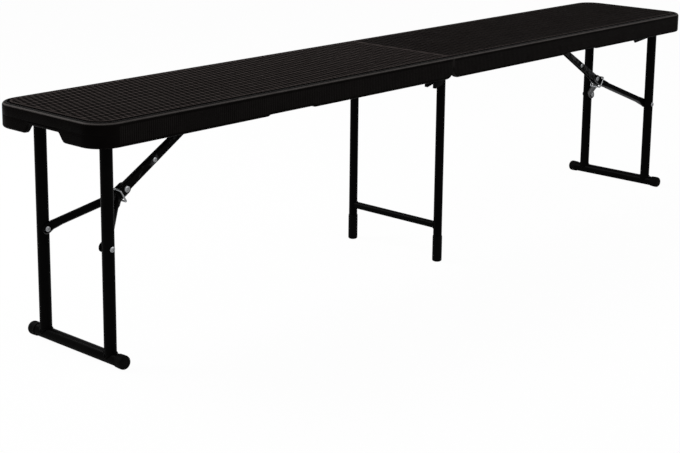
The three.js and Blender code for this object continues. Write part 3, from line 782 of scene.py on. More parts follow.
def makeWeaveTree():
    tree, given = newTree("wovenRelief", 'GeometryNodeTree', [
        ("Length", "Float", 0.9), ("Width", "Float", 0.26), ("Bead Pitch", "Float", 0.012),
        ("Row Pitch", "Float", 0.02), ("Relief", "Float", 0.0015), ("Slit Share", "Float", 0.3),
        ("Bead Round", "Float", 0.6), ("Top Level", "Float", 0.435), ("Columns", "Int", 500),
        ("Rows", "Int", 100), ("Finish", "Material"),
    ], [("Geometry", "Geometry")])
    grid = addNode(tree, "GeometryNodeMeshGrid", {
        "Size X": given["Length"], "Size Y": given["Width"],
        "Vertices X": given["Columns"], "Vertices Y": given["Rows"],
    })
    where = addNode(tree, "GeometryNodeInputPosition").outputs[0]
    split = addNode(tree, "ShaderNodeSeparateXYZ", {0: where}).outputs
    fromSeam = mathNode(tree, 'ADD', split[0], mathNode(tree, 'MULTIPLY', given["Length"], 0.5))
    u = mathNode(tree, 'MULTIPLY', mathNode(tree, 'DIVIDE', fromSeam, given["Bead Pitch"]), 2 * math.pi)
    v = mathNode(tree, 'MULTIPLY', mathNode(tree, 'DIVIDE', split[1], given["Row Pitch"]), math.pi)
    swell = mathNode(tree, 'MULTIPLY', mathNode(tree, 'COSINE', u), mathNode(tree, 'COSINE', v))
    share = given["Slit Share"]
    bead = mathNode(tree, 'DIVIDE', mathNode(tree, 'ADD', swell, share), mathNode(tree, 'ADD', share, 1.0))
    bead = mathNode(tree, 'POWER', mathNode(tree, 'MAXIMUM', bead, 0.0), given["Bead Round"])
    height = mathNode(tree, 'MULTIPLY', bead, given["Relief"])
    level = mathNode(tree, 'ADD', mathNode(tree, 'SUBTRACT', given["Top Level"], given["Relief"]), height)
    place = addNode(tree, "ShaderNodeCombineXYZ", {0: fromSeam, 1: split[1], 2: level})
    put = addNode(tree, "GeometryNodeSetPosition", {
        "Geometry": grid.outputs["Mesh"], "Position": place.outputs[0],
    })
    return endGeometry(tree, put.outputs[0], given["Finish"])


def bakeNodes(name, tree, values, mesh=None):
    # runs a Geometry Nodes tree once and gives back its result as a plain mesh
    obj = bpy.data.objects.new(name, mesh or bpy.data.meshes.new(name))
    bpy.context.collection.objects.link(obj)
    modifier = obj.modifiers.new("nodes", 'NODES')
    modifier.node_group = tree
    sockets = {s.name: s.identifier for s in tree.interface.items_tree if s.in_out == 'INPUT'}
    for label, value in values.items():
        modifier[sockets[label]] = value
    obj.update_tag()
    seen = bpy.context.evaluated_depsgraph_get()
    made = bpy.data.meshes.new_from_object(obj.evaluated_get(seen))
    obj.modifiers.remove(modifier)
    bpy.data.objects.remove(obj)
    return made


def insideDepth(places):
    # pulls points beyond the panel's rounded outline onto it, and says how deep each stands inside
    r = bench["cornerRadius"] - panelInset
    xc = bench["halfLength"] - panelInset - r
    yc = bench["halfWidth"] - panelInset - r
    qx, qy = places[:, 0] - xc, np.abs(places[:, 1]) - yc
    beyond = np.hypot(np.maximum(qx, 0), np.maximum(qy, 0))
    depth = r - beyond - np.minimum(np.maximum(qx, qy), 0)
    outside = depth < 0
    shrink = np.where(outside & (beyond > 0), r / np.maximum(beyond, 1e-9), 1.0)
    places[:, 0] = np.where(outside & (qx > 0), xc + qx * shrink, places[:, 0])
    places[:, 1] = np.where(outside & (qy > 0), np.sign(places[:, 1]) * (yc + qy * shrink), places[:, 1])
    return depth, outside


def shapePanel(mesh, side):
    # gives the grid its outline, a smooth lip, an eased seam edge and its painted highlight mask
    s = wovenPanel
    places = np.empty(len(mesh.vertices) * 3)
    mesh.vertices.foreach_get("co", places)
    places = places.reshape(-1, 3) / mm
    depth, outside = insideDepth(places)
    lip = np.clip(depth / s["lipRound"], 0, 1)
    lipLevel = s["lipLevel"] - s["lipFall"] * (1 - np.sqrt(1 - (1 - lip) ** 2))
    blend = np.clip((depth - s["lipWidth"]) / s["lipBlend"], 0, 1)
    seamLip = np.clip((s["seamLip"] - places[:, 0]) / s["seamBlend"], 0, 1)
    seam = np.clip(places[:, 0] / seatShell["seamEase"], 0, 1)
    level = lipLevel * (1 - blend) + places[:, 2] * blend
    level = s["lipLevel"] * seamLip + level * (1 - seamLip)
    places[:, 2] = level - s["lipFall"] * (1 - seam) ** 2
    places[:, 0] = (places[:, 0] + bench["seamGap"]) * side
    mesh.vertices.foreach_set("co", (places * mm).ravel())
    # painted highlight on the bead crests, lighter on the left half, and lines on the lip and at the seam
    crest = np.clip((places[:, 2] - bench["topLevel"] + s["relief"]) / s["relief"], 0, 1) ** s["crestShare"]
    onLip = np.clip(depth, 0, 1) * (1 - np.clip((depth - s["lipWidth"]) / s["lipFade"], 0, 1))
    edges = np.maximum(s["lipHighlight"] * onLip, s["seamHighlight"] * seamLip)
    highlightShare = np.maximum(crest * blend * s["halfHighlight"][side], edges)
    layer = mesh.attributes.new("paintedHighlight", 'FLOAT', 'POINT')
    layer.data.foreach_set("value", np.where(outside, 0, highlightShare))
    return outside


def makeWovenPanel(side, body, node):
    s = wovenPanel
    stepX = s["beadPitch"] / s["samplesPerBead"]
    stepY = s["rowPitch"] / s["samplesPerRow"]
    columns = math.ceil((bench["halfLength"] - panelInset - bench["seamGap"]) / stepX)
    rows = 2 * math.ceil((bench["halfWidth"] - panelInset) / stepY)
    mesh = bakeNodes("panelGrid", weaveTree, {
        "Length": columns * stepX * mm,
        "Width": rows * stepY * mm,
        "Bead Pitch": s["beadPitch"] * mm,
        "Row Pitch": s["rowPitch"] * mm,
        "Relief": s["relief"] * mm,
        "Slit Share": s["slitShare"],
        "Bead Round": s["beadRound"],
        "Top Level": bench["topLevel"] * mm,
        "Columns": columns + 1,
        "Rows": rows + 1,
        "Finish": materials["wovenPlastic"],
    })
    outside = shapePanel(mesh, side)
    bm = bmesh.new()
    bm.from_mesh(mesh)
    gone = [f for f in bm.faces if all(outside[v.index] for v in f.verts)]
    bmesh.ops.delete(bm, geom=gone, context='FACES')
    rim = [e for e in bm.edges if e.is_boundary]
    wall = bmesh.ops.extrude_edge_only(bm, edges=rim)["geom"]
    for item in wall:
        if isinstance(item, bmesh.types.BMVert):
            item.co.z = s["panelFloor"] * mm
    bmesh.ops.contextual_create(bm, geom=[e for e in wall if isinstance(e, bmesh.types.BMEdge)])
    bmesh.ops.remove_doubles(bm, verts=bm.verts, dist=s["mergeReach"] * mm)
    panel = bmeshToMesh(node + "Weave", bm)
    panel.materials.clear()
    finishPiece(node + "Weave", panel, body, "wovenPlastic", [node], smooth=50)


weaveTree = makeWeaveTree()
for half, side in ends:
    makeSeatShell(side, half + "_half", half + "_seat")
    makeWovenPanel(side, half + "_half", half + "_seat")
print("seat: two shells and two woven panels")


# tubes, rivets and pins, which take their places from the CAD nodes that they stand for

tubeEnd = {
    "wall": 1.4,
    "edge": 0.5,
    "bore": 12.0,  # how deep the open end is hollow
    "hidden": 3.0,  # a leg tube starts this far above its foot tube's middle, inside it
    "segments": 40,
}
pinHead = {
    "height": 1.8,
    "rivetRadius": 5.2,
    "edge": 0.25,  # shares of the head's height
    "lipTop": 0.9,
    "hollowSide": 0.35,
    "hollowFloor": 0.2,
    "hollow": 0.36,  # shares of the head's radius
    "hollowEase": 0.08,
    "hollowRound": 0.8,
    "steps": 5,
    "segments": 28,
}
weldBead = {
    "radius": 1.7,
    "ripples": 44,
    "rippleShare": 0.14,
    "samplesPerRipple": 3,
    "segments": 8,
    "lookAhead": 0.02,  # radians
}


def tubeProfile(radius, start, top):
    # closed at its hidden lower end, hollow at its top
    s = tubeEnd
    inner = radius - s["wall"]
    return [(0, start), (radius, start), (radius, top - s["edge"]), (radius - s["edge"], top),
            (inner, top), (inner, top - s["bore"]), (0, top - s["bore"])]


def rodProfile(radius, low, high):
    return [(0, low), (radius, low), (radius, high), (0, high)]


def domedHead(radius, height, base, away):
    # profile of a low domed head with a hollow centre, from its rim on a face to its middle
    s = pinHead
    hollow, edge = radius * s["hollow"], s["edge"]
    last = math.acos(s["hollow"] + s["hollowEase"])
    profile = [(radius, 0), (radius, edge)]
    for i in range(1, s["steps"] + 1):
        t = last * i / s["steps"]
        profile.append((radius * math.cos(t), edge + (1 - edge) * math.sin(t)))
    profile += [(hollow, s["lipTop"]), (hollow * s["hollowRound"], s["hollowSide"]), (0, s["hollowFloor"])]
    return [(q, base + away * height * share) for q, share in profile]


def addPin(bm, node, radius):
    # a pin along Y with a head at each end
    low, high, middle = cadBox(node)
    height, head = pinHead["height"], high.z - middle.z
    start, end = low.y + height, high.y - height
    profile = domedHead(head, height, start, -1)[::-1] + [(radius, start), (radius, end)]
    profile += domedHead(head, height, end, 1)
    addTurned(bm, profile, (middle.x, 0, middle.z), (0, 1, 0), pinHead["segments"])


def addRivet(bm, node, way, radius):
    # a rivet along Y with a head on the outer side only
    low, high, middle = cadBox(node)
    hidden = low.y if way > 0 else high.y
    face = (high.y if way > 0 else low.y) - way * pinHead["height"]
    profile = [(0, hidden), (radius, hidden), (radius, face)]
    profile += domedHead(pinHead["rivetRadius"], pinHead["height"], face, way)
    addTurned(bm, profile, (middle.x, 0, middle.z), (0, 1, 0), pinHead["segments"])


def addWeld(bm, place, ripples, radius):
    # a rippled weld bead along a curve given by place(turn)
    s = weldBead
    up = Vector((0, 0, 1))
    rings = []
    steps = ripples * s["samplesPerRipple"]
    for i in range(steps):
        turn = 2 * math.pi * i / steps
        here, ahead = Vector(place(turn)), Vector(place(turn + s["lookAhead"]))
        along = (ahead - here).normalized()
        side = (up - along * up.dot(along)).normalized()
        other = along.cross(side)
        size = radius * (1 + s["rippleShare"] * math.sin(turn * ripples))
        turns = [2 * math.pi * k / s["segments"] for k in range(s["segments"])]
        rings.append([here + (side * math.cos(a) + other * math.sin(a)) * size for a in turns])
    addSkin(bm, rings, looped=True)


# end legs: tubes, foot tubes, caps, rods and rivets

endLeg = {
    "capLength": 20.0,
    "capRound": 7.0,
    "capWall": 3.0,
    "capGap": 0.3,
    "capMouth": ((7.0, 0.0), (2.5, 0.5), (2.0, 0.3), (0.5, 0.3), (0.0, 0.7)),  # (from the mouth, inward)
    "weldRise": 0.6,
    "rivetRadius": 3.0,
    "rodRadius": 5.0,
}


def capProfile(radius, tubeRadius):
    # a rubber cap from its rounded closed end to its mouth and back to its floor
    s = endLeg
    turn, mouth, hollow = s["capRound"], s["capLength"], tubeRadius + s["capGap"]
    profile = [(0, 0)] + arcPoints((radius - turn, turn), turn, 270, 360, 8)
    profile += [(radius - inward, mouth - run) for run, inward in s["capMouth"]]
    return profile + [(hollow, mouth), (hollow, s["capWall"]), (0, s["capWall"])]


def makeEndLegs(end):
    s = endLeg
    body, sides = end + "_leg", tubeEnd["segments"]
    footLow, footHigh, foot = cadBox(end + "_foot_tube")
    r, x, level = footHigh.x - foot.x, foot.x, foot.z
    for away, way in ways:
        node = f"{end}_leg_tube_{away}"
        high, middle = cadBox(node)[1:]
        makePiece(f"{end}LegTube_{away}", body, "blackPowder", [node], addTurned,
                  tubeProfile(r, level + tubeEnd["hidden"], high.z), (x, middle.y, 0), (0, 0, 1), sides)

        def weldPlace(t, y=middle.y):
            return x + r * math.cos(t), y + r * math.sin(t), level + r * abs(math.sin(t)) + s["weldRise"]
        makePiece(f"{end}FootWeld_{away}", body, "blackPowder", (), addWeld,
                  weldPlace, weldBead["ripples"], weldBead["radius"])

        node = f"{end}_foot_cap_{away}"
        low, high, middle = cadBox(node)
        tip = max(abs(low.y), abs(high.y))
        profile = [(q, way * (tip - h)) for q, h in capProfile(high.z - middle.z, r)]
        makePiece(f"{end}FootCap_{away}", body, "footRubber", [node], addTurned,
                  profile, (x, 0, middle.z), (0, 1, 0), sides)
        node = f"{end}_leg_rivet_{away}"
        makePiece(f"{end}LegRivet_{away}", body, "brightZinc", [node], addRivet,
                  node, way, s["rivetRadius"])
    makePiece(f"{end}FootTube", body, "blackPowder", [end + "_foot_tube"], addTurned,
              rodProfile(r, footLow.y, footHigh.y), (x, 0, level), (0, 1, 0), sides)
    node = end + "_leg_pivot_rod"
    makePiece(f"{end}PivotRod", end + "_half", "blackPressed", [node], addPin, node, s["rodRadius"])


# knee braces: arms pressed flat at both ends, rivets and the lock ring

kneeBrace = {
    "armRadius": 8.0,
    "flatHalf": 9.5,
    "flatThickness": 3.0,
    "flatLength": 24.0,
    "kneeFlat": 18.0,  # flat past the knee before the arm turns round
    "kneeEase": 22.0,
    "kneeY": 7.3,
    "springY": 16.5,
    "legSideY": 76.5,
    "endShares": (0.0, 0.4, 0.7, 0.88, 0.97, 1.0),
    "kneeSteps": 12,
    "armSteps": 5,
    "legSteps": 8,
    "armHighlight": 0.75,  # painted highlight along the lower edge
    "armHighlightWidth": 4.2,  # to both sides, counted in points of the arm's section
    "armHighlightFade": 1.5,
    "rivetSink": 0.5,
    "ringPlace": 16.0,
    "ringWire": 3.5,
    "ringHalf": 11.8,
    "ringAbove": 9.8,
    "ringBelow": 13.2,
    "ringBend": 3.0,
    "ringTurnSteps": 8,
    "ringSegments": 16,
}
bracePins = {
    "KneeRivet": {"node": "_knee_rivet", "radius": 3.5, "body": "_strut", "finish": "brightZinc"},
    "TongueRivet": {"node": "_tongue_rivet", "radius": 3.0, "body": "_strut", "finish": "brightZinc"},
    "StrutPin": {"node": "_strut_pin", "radius": 3.0, "body": "_half", "finish": "blackPressed"},
}


def braceLine(end, side):
    # from the knee: a function that turns (along, above, across) into a point, and the arm's length
    pin, knee, rivet = (cadBox(end + name)[2] for name in ("_strut_pin", "_knee_rivet", "_leg_rivet_far"))
    ahead = (knee - pin).normalized()
    up = Vector((-ahead.z, 0, ahead.x)) * side

    def place(along, above, across):
        return Vector((knee.x, across, knee.z)) + ahead * along + up * above
    return place, math.hypot(rivet.x - knee.x, rivet.z - knee.z)


def armStations(length):
    # (along, out, half width, half thickness, squareness) from the knee to the leg
    s = kneeBrace
    half, thin, r = s["flatHalf"], s["flatThickness"] / 2, s["armRadius"]
    rounded = [(share, max(half * math.sqrt(1 - share * share), thin)) for share in s["endShares"]]
    stations = [(-share * half, s["kneeY"], wide, thin, 1.0) for share, wide in reversed(rounded)]
    innerStart, innerStop = s["kneeY"] - thin, s["springY"] - r
    for i in range(1, s["kneeSteps"] + 1):
        t = i / s["kneeSteps"]
        ease = smoothStep(t)
        deep = thin + (r - thin) * ease
        out = innerStart + (innerStop - innerStart) * ease + deep
        stations.append((s["kneeFlat"] + s["kneeEase"] * t, out, half + (r - half) * ease, deep, 1 - ease))
    start, stop = stations[-1][0], length - s["flatLength"]
    endY = s["legSideY"] - thin - r
    for i in range(1, s["armSteps"] + 1):
        t = i / s["armSteps"]
        stations.append((start + (stop - start) * t, s["springY"] + (endY - s["springY"]) * t, r, r, 0.0))
    for i in range(1, s["legSteps"] + 1):
        t = i / s["legSteps"]
        ease = smoothStep(t)
        stations.append((stop + (s["flatLength"] - half) * t, endY + (s["legSideY"] - endY) * t,
                         r + (half - r) * ease, r + (thin - r) * ease, ease))
    return stations + [(length + share * half, s["legSideY"], wide, thin, 1.0) for share, wide in rounded]


def addArm(bm, place, stations, way):
    s = kneeBrace
    rings = []
    for along, out, wide, deep, square in stations:
        rings.append([place(along, w, way * (out + d)) for w, d in sectionPoints(wide, deep, square)])
    addSkin(bm, rings)
    # a painted highlight along the arm's lower edge
    paintedHighlight = bm.verts.layers.float.new("paintedHighlight")
    count = len(rings[0])
    for i, vert in enumerate(bm.verts):
        fromLowest = abs(i % count + 0.5 - count // 2)
        vert[paintedHighlight] = s["armHighlight"] * smoothStep((s["armHighlightWidth"] - fromLowest) / s["armHighlightFade"])


def addLockRing(bm, place):
    s = kneeBrace
    r, bend = s["ringWire"] / 2, s["ringBend"]
    wide, high, low = s["ringHalf"] + r, s["ringAbove"] + r, -s["ringBelow"] - r
    rings = []
    for quarter, (y, w) in enumerate(((wide, high), (-wide, high), (-wide, low), (wide, low))):
        cy, cw = y - math.copysign(bend, y), w - math.copysign(bend, w)
        for i in range(s["ringTurnSteps"] + 1):
            turn = (quarter + i / s["ringTurnSteps"]) * math.pi / 2
            ring = []
            for k in range(s["ringSegments"]):
                a = 2 * math.pi * k / s["ringSegments"]
                out = bend + r * math.cos(a)
                across, up = cy + out * math.cos(turn), cw + out * math.sin(turn)
                ring.append(place(s["ringPlace"] + r * math.sin(a), up, across))
            rings.append(ring)
    addSkin(bm, rings, looped=True)


def makeKneeBrace(end, side):
    s = kneeBrace
    place, length = braceLine(end, side)
    stations = armStations(length)
    body, pin = end + "_brace", place(length, 0, 0)
    for away, way in ways:
        makePiece(f"{end}BraceArm_{away}", body, "blackPowder", [f"{end}_brace_arm_{away}"],
                  addArm, place, stations, way, smooth=40)
        face = way * (s["legSideY"] - s["flatThickness"] / 2)
        sunk = face + way * s["rivetSink"]
        profile = [(0, sunk), (pinHead["rivetRadius"], sunk)]
        profile += domedHead(pinHead["rivetRadius"], pinHead["height"], face, -way)[1:]
        makePiece(f"{end}ArmRivet_{away}", body, "brightZinc", (), addTurned,
                  profile, (pin.x, 0, pin.z), (0, 1, 0), pinHead["segments"])
    for name, look in bracePins.items():
        node = end + look["node"]
        makePiece(end + name, end + look["body"], look["finish"], [node], addPin, node, look["radius"])
    makePiece(end + "LockRing", end + "_ring", "brightZinc", [end + "_lock_ring"], addLockRing, place,
              smooth=60)


for end, side in ends:
    makeEndLegs(end)
    makeKneeBrace(end, side)
print("end legs and knee braces")


# centre leg and the rod that the seat folds round

centreLeg = {
    "tubeStart": 5.0,
    "segments": 36,
    "tipRound": 3.5,
    "tipGap": 0.3,
    "tipWall": 6.0,
    "tipMouth": ((5.0, 0.0), (1.0, 0.1), (0.2, 0.5)),  # (from the mouth, inward)
    "pinRadius": 4.0,
    "barInside": 3.0,
    "barSegments": 32,
    "weldRipples": 30,
    "weldRadius": 1.3,
    "weldProud": 0.5,
}


def tipProfile(radius, length, tubeRadius):
    s = centreLeg
    turn, mouth = s["tipRound"], tubeRadius + s["tipGap"]
    profile = [(0, 0)] + arcPoints((radius - turn, turn), turn, 270, 360, 5)
    profile += [(radius - inward, length - run) for run, inward in s["tipMouth"]]
    return profile + [(mouth, length), (mouth, s["tipWall"]), (0, s["tipWall"])]


def makeCentreLeg():
    s = centreLeg
    bar = cadBox("centre_leg_crossbar")
    b, level = bar[1].z - bar[2].z, bar[2].z
    for away, way in ways:
        tube, tip, pin = (f"centre_leg_{part}_{away}" for part in ("tube", "tip", "pin"))
        high, middle = cadBox(tube)[1:]
        x, y, r = middle.x, middle.y, high.x - middle.x
        makePiece(f"centreLegTube_{away}", "centre_leg", "blackPowder", [tube], addTurned,
                  tubeProfile(r, s["tubeStart"], high.z), (x, y, 0), (0, 0, 1), s["segments"])
        tipHigh, tipMiddle = cadBox(tip)[1:]
        makePiece(f"centreLegTip_{away}", "centre_leg", "tipPlastic", [tip], addTurned,
                  tipProfile(tipHigh.x - tipMiddle.x, tipHigh.z, r), (x, y, 0), (0, 0, 1), s["segments"])
        makePiece(f"centreLegPin_{away}", "left_half", "blackPressed", [pin], addPin, pin, s["pinRadius"])

        def weldPlace(t, y=y):
            inside = math.sqrt(r * r - (b * math.cos(t)) ** 2) + s["weldProud"]
            return x + b * math.cos(t), y - way * inside, level + b * math.sin(t)
        makePiece(f"crossbarWeld_{away}", "centre_leg", "blackPowder", (), addWeld,
                  weldPlace, s["weldRipples"], s["weldRadius"])
    reach = abs(y) - r + s["barInside"]
    makePiece("centreCrossbar", "centre_leg", "blackPowder", ["centre_leg_crossbar"], addTurned,
              rodProfile(b, -reach, reach), (x, 0, level), (0, 1, 0), s["barSegments"])
    makePiece("foldRod", "left_half", "blackPressed", ["hinge_rod"], addPin, "hinge_rod", s["pinRadius"])


makeCentreLeg()
print("centre leg")


# pressed brackets, hinge leaves, struts and tongues: the solids' own shapes with eased edges

pressedParts = {
    "easing": 0.4,
    "sharpFrom": 35.0,  # degrees between faces
    "flatWithin": 0.5,
    "mergeReach": 0.002,
    "scuffed": ("strut_channel", "strut_tongue"),
}


def easePressedParts():
    s = pressedParts
    flat, steep = math.radians(s["flatWithin"]), math.radians(s["sharpFrom"])
    for node, solid in list(frame["nodes"].items()):
        if solid.hide_render:
            continue
        bm = bmesh.new()
        bm.from_mesh(solid.data)
        bmesh.ops.remove_doubles(bm, verts=bm.verts, dist=s["mergeReach"] * mm)
        bmesh.ops.dissolve_limit(bm, angle_limit=flat, verts=bm.verts, edges=bm.edges)
        sharp = [e for e in bm.edges if len(e.link_faces) == 2 and e.calc_face_angle(0) > steep]
        bmesh.ops.bevel(bm, geom=sharp, offset=s["easing"] * mm, segments=2, profile=0.5, affect='EDGES',
                        clamp_overlap=True)
        bmesh.ops.triangulate(bm, faces=[f for f in bm.faces if len(f.verts) > 4])
        finish = "scuffedStrut" if any(word in node for word in s["scuffed"]) else "blackPressed"
        finishPiece(node + "Eased", bmeshToMesh(node + "Eased", bm), solid["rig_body"], finish, [node], 30)


# carry strap: webbing with flat ends, a grip folded double, and stitches

carryStrap = {
    # from an end to the middle, as shares of half the span and of the fall
    "route": ((1, 0), (1, 0.12), (1.06, 0.4), (0.92, 0.7), (0.55, 0.93), (0, 1)),
    "routeSteps": 20,
    "endRise": 1.2,
    "height": 57.0,
    "width": 25.0,
    "thickness": 2.6,
    "gripWidth": 6.5,
    "gripDepth": 12.0,
    "gripShare": 0.3,
    "foldLength": 1.5,
    "stationStep": 1.5,
    "slopeReach": 0.4,  # the direction is measured this far to both sides
    "square": 0.9,
    "gripSquare": 0.65,
    "sectionCount": 20,
    "aroundShare": 2.2,  # the section's way round, as a share of the width
    "neckLow": 0.5,
    "neckShare": 0.98,
    "neckStep": 0.1,
    "tabStep": 0.15,
    "tabRings": 12,
}


def strapLine():
    # the webbing's middle line, hanging from where it swings in the rim
    s = carryStrap
    left, right = (cadBox("strap_tab_" + name)[2] for name in ("left", "right"))
    x, y, half = (left.x + right.x) / 2, cadBox("carry_strap")[2].y, (right.x - left.x) / 2
    top, fall = bench["foldLevel"] + s["endRise"], s["height"] + s["endRise"]
    route = [(-a, d) for a, d in s["route"]] + [(a, d) for a, d in reversed(s["route"][:-1])]
    points = [Vector((x + a * half, y, top - d * fall)) for a, d in route]
    path = [2 * points[0] - points[1]] + points + [2 * points[-1] - points[-2]]
    fine = []
    for a, b, c, d in zip(path, path[1:], path[2:], path[3:]):
        for i in range(s["routeSteps"]):
            t = i / s["routeSteps"]
            fine.append(0.5 * (2 * b + (c - a) * t + (2 * a - 5 * b + 4 * c - d) * t * t
                               + (3 * b - a - 3 * c + d) * t ** 3))
    return fine + [points[-1]]


def measureStrap():
    # the strap's length, and its middle and its sideways direction at a run along it
    line = strapLine()
    runs = [0.0]
    for a, b in zip(line, line[1:]):
        runs.append(runs[-1] + (b - a).length)

    def at(run):
        run = min(max(run, 0), runs[-1])
        i = max(k for k, r in enumerate(runs[:-1]) if r <= run + 1e-9)
        return line[i].lerp(line[i + 1], (run - runs[i]) / (runs[i + 1] - runs[i]))

    def sideways(run):
        reach = carryStrap["slopeReach"]
        along = (at(run + reach) - at(run - reach)).normalized()
        return Vector((along.z, 0, -along.x))
    return runs[-1], at, sideways


def makeStrap():
    s = carryStrap
    total, at, sideways = measureStrap()
    points = s["sectionCount"]
    count = round(total / s["stationStep"])
    runs = [total * i / count for i in range(count + 1)]
    rings = []
    for run in runs:
        fromFold = min(run, total - run) - total * s["gripShare"]
        folded = smoothStep(fromFold / s["foldLength"] + 0.5)
        wide = (s["width"] + (s["gripWidth"] - s["width"]) * folded) / 2
        deep = (s["thickness"] + (s["gripDepth"] - s["thickness"]) * folded) / 2
        square = s["square"] + (s["gripSquare"] - s["square"]) * folded
        centre, across = at(run), sideways(run)
        section = sectionPoints(wide, deep, square, points)
        rings.append([centre + across * u + Vector((0, v, 0)) for u, v in section])
    bm = bmesh.new()
    uvLayer = bm.loops.layers.uv.new("UVMap")
    made = addSkin(bm, rings)
    place = {vert: (run * mm, k) for run, ring in zip(runs, made) for k, vert in enumerate(ring)}
    around = s["width"] * s["aroundShare"] * mm
    for face in bm.faces:
        ks = [place[v][1] for v in face.verts]
        wraps = max(ks) - min(ks) > points / 2
        for loop in face.loops:
            run, k = place[loop.vert]
            if wraps and k < points / 2:
                k += points
            loop[uvLayer].uv = (run, k / points * around)
    finishPiece("carryStrap", bmeshToMesh("carryStrap", bm), "handle", "blackWebbing", ["carry_strap"], 60)


def makeTabs():
    # webbing held in the rim, with a neck that runs into the top of the swinging strap
    s = carryStrap
    for name in ("left", "right"):
        low, high, middle = cadBox("strap_tab_" + name)
        half = high - middle
        neck, share = bench["foldLevel"] + s["neckLow"], s["neckShare"]
        levels = [(neck, share), (low.z + s["neckStep"], share), (low.z + s["tabStep"], 1.0)]
        levels += [(low.z + 2 * half.z * i / s["tabRings"], 1.0) for i in range(1, s["tabRings"] + 1)]
        rings = []
        for z, share in levels:
            section = sectionPoints(half.x * share, half.y * share, s["square"], s["sectionCount"])
            rings.append([(middle.x + u, middle.y + v, z) for u, v in section])
        bm = bmesh.new()
        uvLayer = bm.loops.layers.uv.new("UVMap")
        addSkin(bm, rings)
        for face in bm.faces:
            for loop in face.loops:
                loop[uvLayer].uv = (loop.vert.co.z, loop.vert.co.x)
        mesh = bmeshToMesh("strapTab_" + name, bm)
        finishPiece("strapTab_" + name, mesh, "left_half", "blackWebbing", ["strap_tab_" + name], 60)


stitching = {
    "pitch": 3.2,
    "thread": 0.38,
    "length": 2.2,
    "inset": 2.6,  # from the webbing's edge
    "proud": 0.02,
    "endGap": 4.2,  # clear of the tab's neck when the strap swings out
    "foldGap": 3.0,
    "pathSteps": 24,
}


def makeStitchTree():
    tree, given = newTree("stitchRow", 'GeometryNodeTree', [
        ("Path", "Geometry"), ("Pitch", "Float", 0.003), ("Thread", "Float", 0.0004),
        ("Length", "Float", 0.002), ("Finish", "Material"),
    ], [("Geometry", "Geometry")])
    curve = addNode(tree, "GeometryNodeMeshToCurve", {0: given["Path"]})
    even = addNode(tree, "GeometryNodeResampleCurve", {
        "Curve": curve.outputs[0], "Length": given["Pitch"],
    }, mode='LENGTH')
    stitch = addNode(tree, "GeometryNodeMeshCylinder", {
        "Vertices": 6, "Radius": given["Thread"], "Depth": given["Length"],
    })
    along = addNode(tree, "GeometryNodeInputTangent").outputs[0]
    turn = addNode(tree, "FunctionNodeAlignRotationToVector", {"Vector": along}, axis='Z')
    put = addNode(tree, "GeometryNodeInstanceOnPoints", {
        "Points": even.outputs[0], "Instance": stitch.outputs["Mesh"], "Rotation": turn.outputs[0],
    })
    return endGeometry(tree, put.outputs[0], given["Finish"])


def makeStitches():
    # two rows on each face of both flat ends
    s, t = carryStrap, stitching
    total, at, sideways = measureStrap()
    points, edges = [], []
    steps, endGap = t["pathSteps"], t["endGap"]
    flatTo = total * s["gripShare"] - t["foldGap"]
    for face in (-1, 1):
        for edge in (-1, 1):
            for start, stop in ((endGap, flatTo), (total - flatTo, total - endGap)):
                first = len(points)
                for i in range(steps + 1):
                    run = start + (stop - start) * i / steps
                    p = at(run) + sideways(run) * edge * (s["width"] / 2 - t["inset"])
                    p.y += face * (s["thickness"] / 2 + t["proud"])
                    points.append(p * mm)
                edges += [(first + i, first + i + 1) for i in range(steps)]
    mesh = bpy.data.meshes.new("stitchPath")
    mesh.from_pydata(points, edges, [])
    made = bakeNodes("stitchPath", makeStitchTree(), {
        "Pitch": t["pitch"] * mm, "Thread": t["thread"] * mm, "Length": t["length"] * mm,
        "Finish": materials["stitchThread"],
    }, mesh)
    finishPiece("strapStitches", made, "handle", "stitchThread")


makeStrap()
makeStitches()
makeTabs()
print("carry strap")


# screws under the panel: one head, repeated by Geometry Nodes

screws = {
    "headRadius": 3.6,
    "headHeight": 0.6,  # low, because the folded legs pass just below
    "headSink": 0.3,
    "segments": 12,
    "turnSeed": 4,
    "webLevel": 418.7,  # under the brackets' webs
    "leafLevel": 418.2,  # under the hinge leaves
    "legRow": (770, 800, 830),  # from the seam
    "leafColumns": (24, 42),
    "leafRows": (98, 83),  # from the middle
    "strutRow": (510, 540),
    "centreRow": (-38, -24),
}


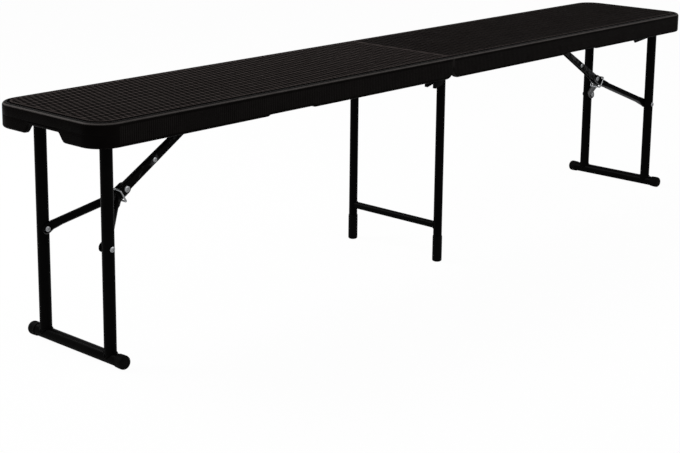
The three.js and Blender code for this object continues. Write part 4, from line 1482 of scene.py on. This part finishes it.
def makeScrewHead():
    s = screws
    profile = [(0, s["headSink"]), (s["headRadius"], s["headSink"])]
    profile += domedHead(s["headRadius"], s["headHeight"], 0, -1)[1:]
    bm = bmesh.new()
    addTurned(bm, profile, (0, 0, 0), (0, 0, 1), s["segments"])
    obj = bpy.data.objects.new("screwHead", bmeshToMesh("screwHead", bm))
    bpy.context.collection.objects.link(obj)
    return obj


def makeScrewTree():
    tree, given = newTree("screwHeads", 'GeometryNodeTree', [
        ("Places", "Geometry"), ("Head", "Object"), ("Turn Seed", "Int", 4), ("Finish", "Material"),
    ], [("Geometry", "Geometry")])
    head = addNode(tree, "GeometryNodeObjectInfo", {"Object": given["Head"]})
    turn = addNode(tree, "FunctionNodeRandomValue", {
        0: (0, 0, 0), 1: (0, 0, math.pi), "Seed": given["Turn Seed"],
    }, data_type='FLOAT_VECTOR')
    put = addNode(tree, "GeometryNodeInstanceOnPoints", {
        "Points": given["Places"], "Instance": head.outputs["Geometry"], "Rotation": turn.outputs[0],
    })
    return endGeometry(tree, put.outputs[0], given["Finish"])


def screwPlaces(half, side):
    s = screws
    web, leaf = s["webLevel"], s["leafLevel"]
    places = []
    for away, way in ways:
        places += [(side * x, way * bench["legY"], web) for x in s["legRow"]]
        places += [(side * x, way * y, leaf) for x in s["leafColumns"] for y in s["leafRows"]]
    places += [(side * x, 0, web) for x in s["strutRow"]]
    if half == "left":
        for away, way in ways:
            y = cadBox("centre_leg_tube_" + away)[2].y
            places += [(x, y, web) for x in s["centreRow"]]
    return [Vector(p) * mm for p in places]


def makeScrews():
    head = makeScrewHead()
    tree = makeScrewTree()
    for half, side in ends:
        mesh = bpy.data.meshes.new("screwPlaces")
        mesh.from_pydata(screwPlaces(half, side), [], [])
        made = bakeNodes("screwPlaces", tree, {
            "Head": head, "Turn Seed": screws["turnSeed"] + side, "Finish": materials["brightZinc"],
        }, mesh)
        finishPiece(half + "Screws", made, half + "_half", "brightZinc")
    bpy.data.objects.remove(head)


makeScrews()
easePressedParts()
print("screws and pressed parts")
